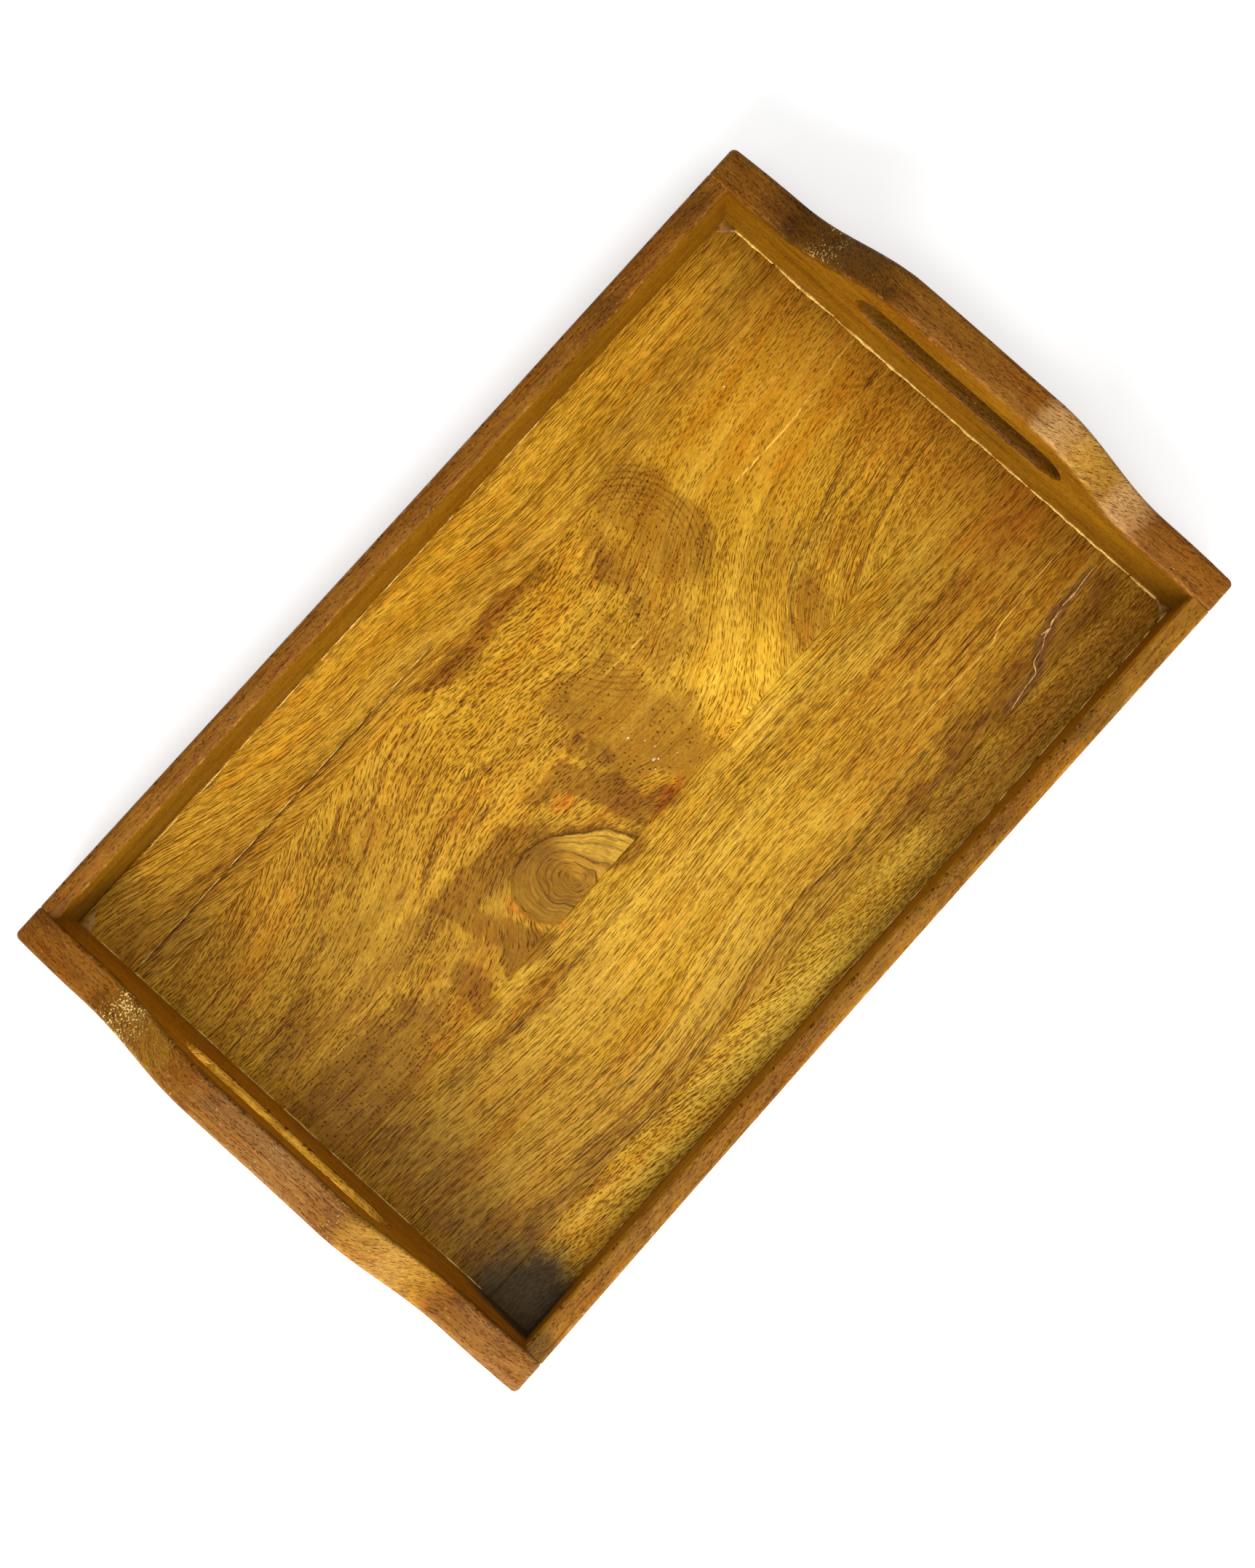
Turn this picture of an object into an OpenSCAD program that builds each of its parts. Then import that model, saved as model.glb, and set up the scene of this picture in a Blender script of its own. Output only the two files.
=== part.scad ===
// Wooden serving tray: two tall end boards with hand slots, two low side rails butted between
// them, and a floor of four edge-glued staves with a tongue that sits in a groove in the walls.
// Frame: origin under the middle of the tray, X along its length, Y across it, Z up.

/* [Overall] */
// Length over the two end boards
tray_l = 400; // [320:5:480]
// Width over the two side rails
tray_w = 250; // [235:5:300]
// Radius of the four upright outer corners
corner_r = 2.5; // [1:0.5:5]

/* [End boards] */
// Thickness of each end board
end_t = 14.5; // [12:0.5:20]
// Height of the level top of the grip
grip_h = 75; // [72:1:90]
// Length of the level top of the grip
grip_l = 65; // [60:1:72]
// Length of the curved shoulder at each side of the grip
shoulder_l = 58; // [50:1:58]
// Rise of the top edge from the corner to the foot of the shoulder
corner_rise = 4; // [0:0.5:5]

/* [Hand slots] */
// Length of each slot over its round ends
slot_l = 99; // [90:1:106]
// Height of each slot
slot_h = 20; // [18:1:23]
// Height of the slot's centre line above the table
slot_z = 46; // [42:0.5:47]

/* [Side rails] */
// Thickness of each side rail
rail_t = 9; // [8:0.5:12]
// Height of the side rails, and of the end boards at the corners
rail_h = 45; // [44:1:50]
// Radius of the rails' two long top edges
rail_r = 2; // [1:0.5:3.5]

/* [Floor] */
// Thickness of the floor staves
floor_t = 7; // [6:0.5:8]
// Height of the staves' underside above the table
floor_z = 3; // [2:0.5:5]
// Share of the inner width taken by the first stave, counted from the back rail
stave_1_share = 0.164; // [0.12:0.002:0.18]
// Share of the inner width taken by the second stave
stave_2_share = 0.428; // [0.38:0.002:0.44]
// Share of the inner width taken by the third stave, which leaves the rest to the fourth
stave_3_share = 0.324; // [0.28:0.002:0.33]
// Thickness of the tongue round the floor
tongue_t = 4; // [3:0.5:5]
// Depth of the groove that takes the tongue
tongue_d = 4; // [3:0.5:5]

/* [Dowels] */
// Radius of the dowels in the corner joints
dowel_r = 2.5; // [2:0.25:3]
// Length of dowel inside the rail
dowel_in_rail = 18; // [12:1:30]
// Length of dowel inside the end board
dowel_in_end = 9; // [6:0.5:10]
// Height of the lower dowel in each corner
dowel_low_z = 17; // [15:1:20]
// Height of the upper dowel in each corner
dowel_high_z = 35; // [30:1:37]

/* [Hidden] */
$fn = 64;
over = 1; // how far a cutter runs past the face that it cuts
inner_l = tray_l - 2*end_t;
inner_w = tray_w - 2*rail_t;
tongue_z = floor_z + (floor_t - tongue_t)/2;

shoulder_foot = grip_l/2 + shoulder_l;
shoulder_foot_h = rail_h + corner_rise;
corner_l = tray_w/2 - shoulder_foot;
shoulder_steps = 16;
corner_steps = 5;

// Edges of the staves, from the back rail's inner face to the front rail's
seam_1_y = inner_w*(1/2 - stave_1_share);
seam_2_y = seam_1_y - inner_w*stave_2_share;
seam_3_y = seam_2_y - inner_w*stave_3_share;
stave_edges = [inner_w/2, seam_1_y, seam_2_y, seam_3_y, -inner_w/2];
stave_colors = ["goldenrod", "peru", "darkgoldenrod", "khaki"];
last_stave = len(stave_colors) - 1;

// Height of an end board's top edge at distance d from its middle. Past the level grip comes a
// cosine shoulder, and past its foot a gentle arc that eases down to the rail at the corner.
function shoulder_top(d) =
    shoulder_foot_h + (grip_h - shoulder_foot_h)*(1 + cos(180*(d - grip_l/2)/shoulder_l))/2;
function corner_top(d) =
    rail_h + corner_rise*(1 - pow((d - shoulder_foot)/corner_l, 2));

// Top edge of one half as [d, height] points, from the grip out to the corner
half_top = concat(
    [for (i = [0 : shoulder_steps])
        let (d = grip_l/2 + shoulder_l*i/shoulder_steps) [d, shoulder_top(d)]],
    [for (i = [1 : corner_steps])
        let (d = shoulder_foot + corner_l*i/corner_steps) [d, corner_top(d)]]
);
last_point = len(half_top) - 1;

module end_outline() {
    polygon(concat(
        [[tray_w/2, 0]],
        [for (i = [last_point : -1 : 0]) half_top[i]],
        [for (p = half_top) [-p[0], p[1]]],
        [[-tray_w/2, 0]]
    ));
}

module slot_outline() {
    square([slot_l - slot_h, slot_h], center = true);
    for (side = [-1, 1])
        translate([side*(slot_l - slot_h)/2, 0]) circle(d = slot_h);
}

// Plan of the whole tray, with its four upright corners rounded
module plan_outline() {
    square([tray_l - 2*corner_r, tray_w], center = true);
    square([tray_l, tray_w - 2*corner_r], center = true);
    for (sx = [-1, 1], sy = [-1, 1])
        translate([sx*(tray_l/2 - corner_r), sy*(tray_w/2 - corner_r)]) circle(r = corner_r);
}

// The four dowels at one end, or the bores that they fill. sx is -1 at the left and 1 at the right.
module dowels_at(sx) {
    for (sy = [-1, 1], z = [dowel_low_z, dowel_high_z])
        translate([sx*inner_l/2, sy*(tray_w - rail_t)/2, z])
            rotate([0, sx*90, 0])
                translate([0, 0, -dowel_in_rail])
                    cylinder(r = dowel_r, h = dowel_in_rail + dowel_in_end);
}

// Lays an outline in the YZ plane and extrudes it along X from x
module along_x(x, length) {
    translate([x, 0, 0]) rotate([90, 0, 90]) linear_extrude(height = length) children();
}

module end_board(sx) {
    inner_x = sx*inner_l/2;
    outer_x = sx*tray_l/2;
    color("saddlebrown") difference() {
        intersection() {
            along_x(min(inner_x, outer_x), end_t) end_outline();
            linear_extrude(height = grip_h + over) plan_outline();
        }
        along_x(min(inner_x, outer_x) - over, end_t + 2*over)
            translate([0, slot_z]) slot_outline();
        translate([inner_x - tongue_d, -inner_w/2 - tongue_d, tongue_z])
            cube([2*tongue_d, inner_w + 2*tongue_d, tongue_t]);
        dowels_at(sx);
    }
}

// Section of a rail, with its outer face at 0 and its grooved inner face at rail_t
module rail_outline() {
    difference() {
        union() {
            square([rail_t, rail_h - rail_r]);
            translate([rail_r, 0]) square([rail_t - 2*rail_r, rail_h]);
            for (y = [rail_r, rail_t - rail_r])
                translate([y, rail_h - rail_r]) circle(r = rail_r);
        }
        translate([rail_t - tongue_d, tongue_z]) square([tongue_d + over, tongue_t]);
    }
}

// sy is -1 at the front and 1 at the back
module side_rail(sy) {
    color("sienna") difference() {
        mirror([0, sy > 0 ? 1 : 0, 0])
            along_x(-inner_l/2, inner_l) translate([-tray_w/2, 0]) rail_outline();
        for (sx = [-1, 1]) dowels_at(sx);
    }
}

// Every stave has a tongue at both ends, and the first and last have one along a rail too
module floor_stave(i) {
    back = stave_edges[i];
    front = stave_edges[i + 1];
    tongue_back = back + (i == 0 ? tongue_d : 0);
    tongue_front = front - (i == last_stave ? tongue_d : 0);
    color(stave_colors[i]) union() {
        translate([-inner_l/2, front, floor_z])
            cube([inner_l, back - front, floor_t]);
        translate([-inner_l/2 - tongue_d, tongue_front, tongue_z])
            cube([inner_l + 2*tongue_d, tongue_back - tongue_front, tongue_t]);
    }
}

module corner_dowels() {
    color("burlywood") for (sx = [-1, 1]) dowels_at(sx);
}

end_board(-1);  // end_board_left
end_board(1);  // end_board_right
side_rail(-1);  // side_rail_front
side_rail(1);  // side_rail_back
floor_stave(0);  // floor_stave_1
floor_stave(1);  // floor_stave_2
floor_stave(2);  // floor_stave_3
floor_stave(3);  // floor_stave_4
corner_dowels();
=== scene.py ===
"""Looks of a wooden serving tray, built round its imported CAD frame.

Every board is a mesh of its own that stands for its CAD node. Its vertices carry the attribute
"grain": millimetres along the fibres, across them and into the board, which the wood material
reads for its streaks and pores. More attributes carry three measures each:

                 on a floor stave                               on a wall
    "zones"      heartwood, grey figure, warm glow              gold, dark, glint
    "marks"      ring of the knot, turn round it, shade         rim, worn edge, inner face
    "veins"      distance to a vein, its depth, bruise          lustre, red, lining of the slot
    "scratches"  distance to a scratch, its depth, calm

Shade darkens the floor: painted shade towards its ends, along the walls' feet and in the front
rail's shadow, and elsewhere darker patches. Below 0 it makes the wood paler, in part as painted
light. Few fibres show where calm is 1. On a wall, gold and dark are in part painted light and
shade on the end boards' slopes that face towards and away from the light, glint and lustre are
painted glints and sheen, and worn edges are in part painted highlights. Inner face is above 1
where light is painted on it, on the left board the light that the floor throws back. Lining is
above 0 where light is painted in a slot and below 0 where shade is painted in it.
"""

import math

import bmesh
import bpy
import numpy as np
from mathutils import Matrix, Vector, geometry


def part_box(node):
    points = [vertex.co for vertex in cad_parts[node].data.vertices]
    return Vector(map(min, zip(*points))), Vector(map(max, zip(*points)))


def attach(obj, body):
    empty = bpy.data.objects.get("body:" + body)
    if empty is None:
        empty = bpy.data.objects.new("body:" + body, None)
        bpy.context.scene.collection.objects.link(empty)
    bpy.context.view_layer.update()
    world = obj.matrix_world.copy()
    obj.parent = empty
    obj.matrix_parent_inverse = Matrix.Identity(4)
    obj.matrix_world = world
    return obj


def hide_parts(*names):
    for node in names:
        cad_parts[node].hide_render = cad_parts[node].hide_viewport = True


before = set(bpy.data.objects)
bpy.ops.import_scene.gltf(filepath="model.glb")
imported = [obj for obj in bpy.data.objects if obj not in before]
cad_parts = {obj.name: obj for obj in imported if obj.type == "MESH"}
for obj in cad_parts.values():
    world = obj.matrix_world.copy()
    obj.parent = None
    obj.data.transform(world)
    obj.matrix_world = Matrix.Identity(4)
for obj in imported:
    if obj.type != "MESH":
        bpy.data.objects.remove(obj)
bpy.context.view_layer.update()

MM = 0.001

# ---------------- frame measures, in millimetres


def box_mm(node):
    """A CAD node's lowest and highest corners"""
    return [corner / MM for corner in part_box(node)]


RIGHT_BOX = box_mm("end_board_right")
BACK_BOX = box_mm("side_rail_back")
STAVE_BOXES = [box_mm(f"floor_stave_{i}") for i in (1, 2, 3, 4)]

OUT_X = RIGHT_BOX[1].x            # outer faces of the end boards
IN_X = RIGHT_BOX[0].x             # inner faces of the end boards
OUT_Y = RIGHT_BOX[1].y            # outer faces of the side rails
IN_Y = BACK_BOX[0].y              # inner faces of the side rails
GRIP_H = RIGHT_BOX[1].z
RAIL_H = BACK_BOX[1].z
FLOOR_TOP = STAVE_BOXES[1][1].z
FLOOR_LOW = STAVE_BOXES[1][0].z
SEAMS_Y = [IN_Y, STAVE_BOXES[1][1].y, STAVE_BOXES[2][1].y, STAVE_BOXES[2][0].y, -IN_Y]

# The end board's outline, as in the CAD
GRIP_L = 65.0
SHOULDER_L = 58.0
CORNER_RISE = 4.0
SLOT_L = 99.0
SLOT_H = 20.0
SLOT_Z = 46.0


# ---------------- node tree helper

class Nodes:
    """A material's node tree. Most methods add a node and return the socket that it gives."""

    def __init__(self, name):
        self.material = bpy.data.materials.new(name)
        self.material.use_nodes = True
        self.tree = self.material.node_tree
        self.shader = self.tree.nodes["Principled BSDF"]

    def node(self, kind, inputs=(), **settings):
        made = self.tree.nodes.new("ShaderNode" + kind)
        for key, value in settings.items():
            setattr(made, key, value)
        for key, value in dict(inputs).items():
            self.put(made.inputs[key], value)
        return made

    def put(self, socket, value):
        if isinstance(value, bpy.types.NodeSocket):
            self.tree.links.new(value, socket)
        else:
            socket.default_value = value

    def math(self, operation, a, b=0.0):
        return self.node("Math", {0: a, 1: b}, operation=operation).outputs[0]

    def add(self, a, b):
        return self.math("ADD", a, b)

    def times(self, a, b):
        return self.math("MULTIPLY", a, b)

    def vector(self, operation, a, b=(0.0, 0.0, 0.0)):
        """A vector, or a number from the operations that give one"""
        made = self.node("VectorMath", {0: a, 1: b}, operation=operation)
        return made.outputs["Value" if operation in ("LENGTH", "DISTANCE") else "Vector"]

    def scaled(self, vector, scale, shift=(0.0, 0.0, 0.0)):
        """vector times scale, plus shift, each axis on its own"""
        inputs = {0: vector, 1: scale, 2: shift}
        return self.node("VectorMath", inputs, operation="MULTIPLY_ADD").outputs[0]

    def moved(self, vector, shift):
        return self.scaled(vector, (1.0, 1.0, 1.0), shift)

    def parts(self, vector):
        return self.node("SeparateXYZ", {0: vector}).outputs

    def joined(self, x=0.0, y=0.0):
        return self.node("CombineXYZ", {0: x, 1: y}).outputs[0]

    def attribute(self, name):
        return self.node("Attribute", attribute_name=name).outputs["Vector"]

    def position(self):
        """Place in the row frame, in millimetres"""
        place = self.node("TexCoord").outputs["Object"]
        return self.scaled(place, (1 / MM,) * 3)

    def noise(self, vector, detail, roughness):
        inputs = {"Vector": vector, "Scale": 1.0, "Detail": detail, "Roughness": roughness}
        return self.node("TexNoise", inputs).outputs["Fac"]

    def lumps(self, place, size, detail, roughness=0.5, shift=(0.0, 0.0, 0.0)):
        """Noise in lumps of about size mm: one number, or one for each axis"""
        sizes = size if isinstance(size, tuple) else (size,) * 3
        return self.noise(self.scaled(place, tuple(1 / s for s in sizes), shift), detail, roughness)

    def smooth(self, value, low, high, to_low=0.0, to_high=1.0, rise="SMOOTHSTEP"):
        """to_low below low, to_high above high, and an S-curve between"""
        inputs = {"Value": value, "From Min": low, "From Max": high,
                  "To Min": to_low, "To Max": to_high}
        return self.node("MapRange", inputs, interpolation_type=rise).outputs[0]

    def line(self, *span):
        """As smooth, with a straight rise"""
        return self.smooth(*span, rise="LINEAR")

    def near(self, offset, full, none):
        """1 where offset is within full of zero, 0 beyond none"""
        return self.smooth(self.math("ABSOLUTE", offset), full, none, 1.0, 0.0)

    def frayed(self, share, jitter, reach, low, high, most=1.0):
        """A mask that rises to most as share goes from low to high, with an edge that jitter frays"""
        return self.smooth(self.add(share, self.times(jitter, reach)), low, high, 0.0, most)

    def mix(self, factor, a, b, blend="MIX"):
        made = self.node("Mix", data_type="RGBA", blend_type=blend)
        self.put(made.inputs["Factor"], factor)
        self.put(made.inputs["A"], a)
        self.put(made.inputs["B"], b)
        return made.outputs["Result"]

    def tint(self, factor, colour, gains):
        """colour with its red, green and blue multiplied by gains, by the share factor"""
        return self.mix(factor, colour, (*gains, 1.0), "MULTIPLY")

    def finish(self, colour, roughness, height=None, bump_distance=0.0002, **constants):
        self.put(self.shader.inputs["Base Color"], colour)
        self.put(self.shader.inputs["Roughness"], roughness)
        for key, value in constants.items():
            self.shader.inputs[key.replace("_", " ")].default_value = value
        if height is not None:
            inputs = {"Height": height, "Strength": 1.0, "Distance": bump_distance}
            self.put(self.shader.inputs["Normal"], self.node("Bump", inputs).outputs[0])
        return self.material


def srgb(red, green, blue):
    """An sRGB colour, 0 to 255, as linear RGBA"""
    def linear(c):
        c = c / 255
        return c / 12.92 if c <= 0.04045 else ((c + 0.055) / 1.055) ** 2.4
    return (linear(red), linear(green), linear(blue), 1.0)


# ---------------- wood

def pores(n, grain, cell, dash, keep, slipping=12.0):
    """Dark vessel marks: a dash of that length and width in each cell, in the share keep of them.
    The rows of cells slip along the fibres against each other, by up to slipping mm."""
    along, across, _ = n.parts(grain)
    along = n.add(along, n.times(n.lumps(grain, (100, 3, math.inf), 1), slipping))
    place = n.joined(n.times(along, 1 / cell[0]), n.times(across, 1 / cell[1]))
    cells = n.node("TexVoronoi", {"Vector": place, "Scale": 1.0}, voronoi_dimensions="2D")
    offset = n.vector("SUBTRACT", place, cells.outputs["Position"])
    offset = n.scaled(offset, (2 * cell[0] / dash[0], 2 * cell[1] / dash[1], 0))
    share, size, _ = n.parts(cells.outputs["Color"])
    reach = n.times(n.vector("LENGTH", offset), n.line(size, 0, 1, 1.7, 0.8))
    return n.times(n.smooth(reach, 1.3, 0.6), n.smooth(n.math("SUBTRACT", keep, share), 0, 0.2))


def stain_mask(n, place):
    """The charcoal stain in one inner corner of the tray, over the floor and the walls' feet"""
    to_centre = (IN_X - 4, IN_Y - 3, 4 - FLOOR_TOP)
    away = n.vector("MULTIPLY", n.moved(place, to_centre), (1 / 29, 1 / 33, 1 / 24))
    far = n.add(n.vector("LENGTH", away), n.times(n.lumps(place, 12, 4, 0.6), 0.7))
    return n.smooth(far, 0.9, 1.5, 1.0, 0.0)


def wood(name, pale, deep, pore_amount, dash, fibre, contrast, sway, specks=0.0, stain=False,
         zoned=False):
    """Lacquered wood along the mesh's "grain" attribute. In mm, dash is the length and width of its
    vessel marks, fibre the length of its streaks and sway how far they wander. pore_amount and
    contrast say how much the marks and the streaks show. specks is the share of pale specks, stain
    adds the charcoal stain, and zoned is for the floor, which has the figure and the knot."""
    n = Nodes(name)
    place = n.position()
    wave = n.line(n.lumps(place, (17, 9, 9), 3), 0.2, 0.8, -sway, sway)
    grain = n.vector("ADD", n.attribute("grain"), n.joined(y=wave))
    drift = n.lumps(grain, (60, 14, 16), 3)
    band = n.lumps(grain, (38, 2.6, 4), 5, 0.7)
    warm = n.lumps(grain, (55, 10, 12), 4, 0.6, (11, 3, 0))
    streak = n.lumps(grain, (fibre, 0.52, 0.9), 3, 0.62)
    thread = n.lumps(grain, (3 * fibre, 0.7, 1.1), 2, shift=(40, 7, 0))
    grit = n.lumps(grain, (1.5, 0.6, 0.8), 2, 0.6)
    mottle = n.lumps(grain, (5, 2, 3), 5, 0.65)
    polish = n.lumps(place, 22, 3)

    tone = n.add(n.times(drift, 0.55), n.times(band, 0.45))
    colour = n.mix(n.smooth(tone, 0.24, 0.76), pale, deep)
    colour = n.tint(n.smooth(warm, 0.46, 0.66, 0, 0.8), colour, (0.98, 0.84, 0.5))
    dense = n.smooth(n.add(n.times(band, 0.6), n.times(drift, 0.4)), 0.36, 0.6, 0.6, 1.4)
    if zoned:
        colour, dive, dense = floor_colours(n, place, grain, colour, dense)
        knot_ring_share = n.parts(n.attribute("marks"))[0]
        calm = n.parts(n.attribute("scratches"))[2]
        contrast = n.times(n.smooth(knot_ring_share, 0.9, 1.05, 0.45, contrast),
                           n.line(calm, 0, 1, 1.08, 0.4))
        dense = n.times(dense, n.line(calm, 0, 1, 1, 0.45))
    else:
        colour = wall_colours(n, place, grain, colour)
        dive = 0.0

    # Dark fibres, dark threads and light fibres
    for strands, low, high, gains in ((streak, 0.48, 0.7, (0.68, 0.58, 0.34)),
                                      (thread, 0.57, 0.63, (0.52, 0.4, 0.16)),
                                      (streak, 0.46, 0.28, (1.2, 1.27, 1.9))):
        colour = n.tint(n.times(n.smooth(strands, low, high), contrast), colour, gains)
    sanded = n.mix(n.smooth(grit, 0.3, 0.7), (0.8, 0.78, 0.6, 1), (1.17, 1.19, 1.25, 1))
    colour = n.mix(0.8, colour, sanded, "MULTIPLY")
    patchy = n.mix(n.smooth(mottle, 0.3, 0.7), (0.92, 0.9, 0.8, 1), (1.07, 1.08, 1.1, 1))
    colour = n.mix(1.0, colour, patchy, "MULTIPLY")

    # Pores: long dashes, and round spots where the fibres dive into the board
    keep = n.times(dense, pore_amount)
    dashes = pores(n, grain, (dash[0] * 1.1, 0.72), dash, n.times(keep, n.line(dive, 0, 1, 1, 0.2)))
    spots = pores(n, n.moved(grain, (9, 4, 0)), (1.8, 1.25), (0.95, 0.6),
                  n.times(keep, n.line(dive, 0, 1, 0.1, 0.5)), slipping=0.0)
    holes = n.math("MAXIMUM", dashes, spots)
    colour = n.tint(n.times(holes, 0.9), colour, (0.3, 0.2, 0.06))

    if specks:
        glints = pores(n, n.moved(grain, (31, 17, 5)), (1.7, 1.1), (0.9, 0.4), specks)
        colour = n.mix(n.times(glints, 0.5), colour, srgb(200, 156, 96))
    if stain:
        mask = stain_mask(n, place)
        if not zoned:
            # It doesn't reach a wall's outer face
            mask = n.times(mask, n.smooth(n.parts(n.attribute("marks"))[2], 0, 0.5))
        colour = n.mix(n.times(mask, 0.96), colour, srgb(74, 57, 34))

    rough = n.add(n.line(polish, 0.3, 0.7, 0.37, 0.49), n.times(holes, 0.2))
    height = n.add(n.add(n.times(streak, 0.3), n.times(band, 0.25)), n.times(holes, -0.9))
    return n.finish(colour, rough, height, 0.00012, Coat_Weight=0.02, Coat_Roughness=0.25,
                    Specular_IOR_Level=0.07)


def wall_colours(n, place, grain, colour):
    """A wall's golden inner face, made lighter by painted light where marked above 1; painted light and
    shade in the slots; dark and golden stretches of its rim, in part painted shade and light; painted
    glints and sheen; and worn edges, in part painted highlights
    """
    rim, edge, inner = n.parts(n.attribute("marks"))
    gold, dark, glint = n.parts(n.attribute("zones"))
    lustre, red, lining = n.parts(n.attribute("veins"))
    ragged = n.lumps(grain, (12, 3, 3), 5, 0.7)
    jitter = n.line(ragged, 0.3, 0.7, -0.3, 0.3)
    blotch = n.lumps(place, 26, 5, 0.6)
    scuff_and_glint_noise = n.lumps(place, 5, 5, 0.7)
    fine_glint_noise = n.lumps(place, 0.9, 2)

    colour = n.tint(inner, colour, (1.03, 1.15, 0.42))
    # Painted light on inner faces marked above 1
    colour = n.tint(n.smooth(inner, 1.0, 2.0), colour, (2.0, 1.85, 1.2))
    # Painted light in the left board's slot lining, and painted shade in the right board's
    painted_slot_light = n.mix(n.smooth(ragged, 0.42, 0.6), srgb(196, 146, 46), srgb(160, 112, 26))
    colour = n.mix(n.smooth(lining, 0.2, 1.0, 0, 0.85), colour, painted_slot_light)
    colour = n.tint(n.smooth(lining, -0.2, -1.0), colour, (0.56, 0.58, 0.12))
    dark_blotch = n.times(rim, n.smooth(blotch, 0.5, 0.68))
    colour = n.tint(n.times(dark_blotch, 0.75), colour, (0.56, 0.54, 0.5))
    # Dark and golden rim stretches, in part painted shade and light on slopes facing away from and
    # towards the light
    colour = n.tint(n.frayed(dark, jitter, 0.6, 0.15, 0.9), colour, (0.5, 0.52, 0.45))
    colour = n.tint(n.frayed(gold, jitter, 0.6, 0.1, 1.0), colour, (1.4, 1.78, 1.7))
    # Painted sheen: pale bands of reflection on the end boards' rims
    painted_sheen = n.times(n.frayed(lustre, jitter, 0.3, 0.1, 0.9), 0.5)
    colour = n.mix(painted_sheen, colour, srgb(196, 156, 104))

    # Worn edges, made paler in part as painted highlights on the rounded edges
    worn_edge_and_highlight = n.smooth(n.add(scuff_and_glint_noise, n.times(edge, 0.16)), 0.66, 0.8)
    colour = n.mix(n.times(n.times(worn_edge_and_highlight, edge), 0.4), colour, srgb(196, 148, 82))
    colour = n.tint(n.times(n.smooth(red, 0.1, 0.9), 0.8), colour, (1.0, 0.78, 0.9))
    # Painted glints on the rims
    painted_glint = n.add(n.times(glint, 0.12), n.times(scuff_and_glint_noise, 0.3))
    painted_glint = n.smooth(n.add(n.times(fine_glint_noise, 0.7), painted_glint), 0.64, 0.72)
    return n.mix(n.times(painted_glint, glint), colour, srgb(238, 210, 140))


def floor_colours(n, place, grain, colour, dense):
    """The floor's figure, knot, veins, scratches, painted shade towards its ends and along its walls,
    and darker and paler patches, the paler ones in part painted light. Returns the colour, how far
    the fibres dive into the board, and how dense the pores are."""
    ragged = n.lumps(grain, (9, 2.2, 1), 6, 0.78)
    jitter = n.line(ragged, 0.3, 0.7, -0.5, 0.5)
    cloud = n.line(n.lumps(place, 6, 4, 0.65), 0.3, 0.7)
    colour, grey_mask = figure_colours(n, place, colour, ragged, jitter, cloud)
    colour, within_knot = knot_colours(n, place, colour, jitter, cloud)
    colour = line_colours(n, grain, colour)
    # Painted shade darkens the floor; below 0 it makes the floor paler, in part as painted light
    shade = n.parts(n.attribute("marks"))[2]
    colour = n.tint(shade, colour, (0.32, 0.23, 0.14))
    colour = n.tint(n.times(shade, -1.0), colour, (1.5, 1.62, 1.8))
    return colour, grey_mask, n.times(dense, n.line(within_knot, 0, 1, 1, 0.2))


def figure_colours(n, place, colour, ragged, jitter, cloud):
    """Grey figure with its ripple, heartwood, orange glow and the purplish wood round the split"""
    heart, grey, glow = n.parts(n.attribute("zones"))
    bruise = n.parts(n.attribute("veins"))[2]
    clouded = n.line(cloud, 0, 1, 0.8, 1)

    grey_mask = n.frayed(grey, jitter, 0.6, 0.1, 0.95)
    colour = n.tint(n.times(grey_mask, clouded), colour, (0.6, 0.52, 0.42))
    from_middle = n.vector("DISTANCE", place, RIPPLE_MIDDLE)
    waves = n.math("SINE", n.add(n.times(from_middle, 2.4), n.times(ragged, 5)))
    outer = n.times(n.smooth(from_middle, 14, 28), n.smooth(from_middle, 62, 48))
    dark_wave = n.times(n.smooth(waves, 0.2, 0.9), n.times(grey_mask, outer))
    colour = n.tint(n.times(dark_wave, 0.5), colour, (0.5, 0.4, 0.3))

    heart_mask = n.frayed(heart, jitter, 0.6, 0.18, 0.75)
    colour = n.tint(n.times(heart_mask, clouded), colour, (0.52, 0.41, 0.2))
    # Orange glow, which also gives the painted shade at the right end and front corner its redder hue
    colour = n.tint(n.frayed(glow, jitter, 0.45, 0.05, 1.1), colour, (1.0, 0.66, 0.28))
    bruise_mask = n.frayed(bruise, jitter, 0.35, 0.15, 0.9, 0.82)
    return n.mix(bruise_mask, colour, srgb(128, 84, 46)), grey_mask


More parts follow.
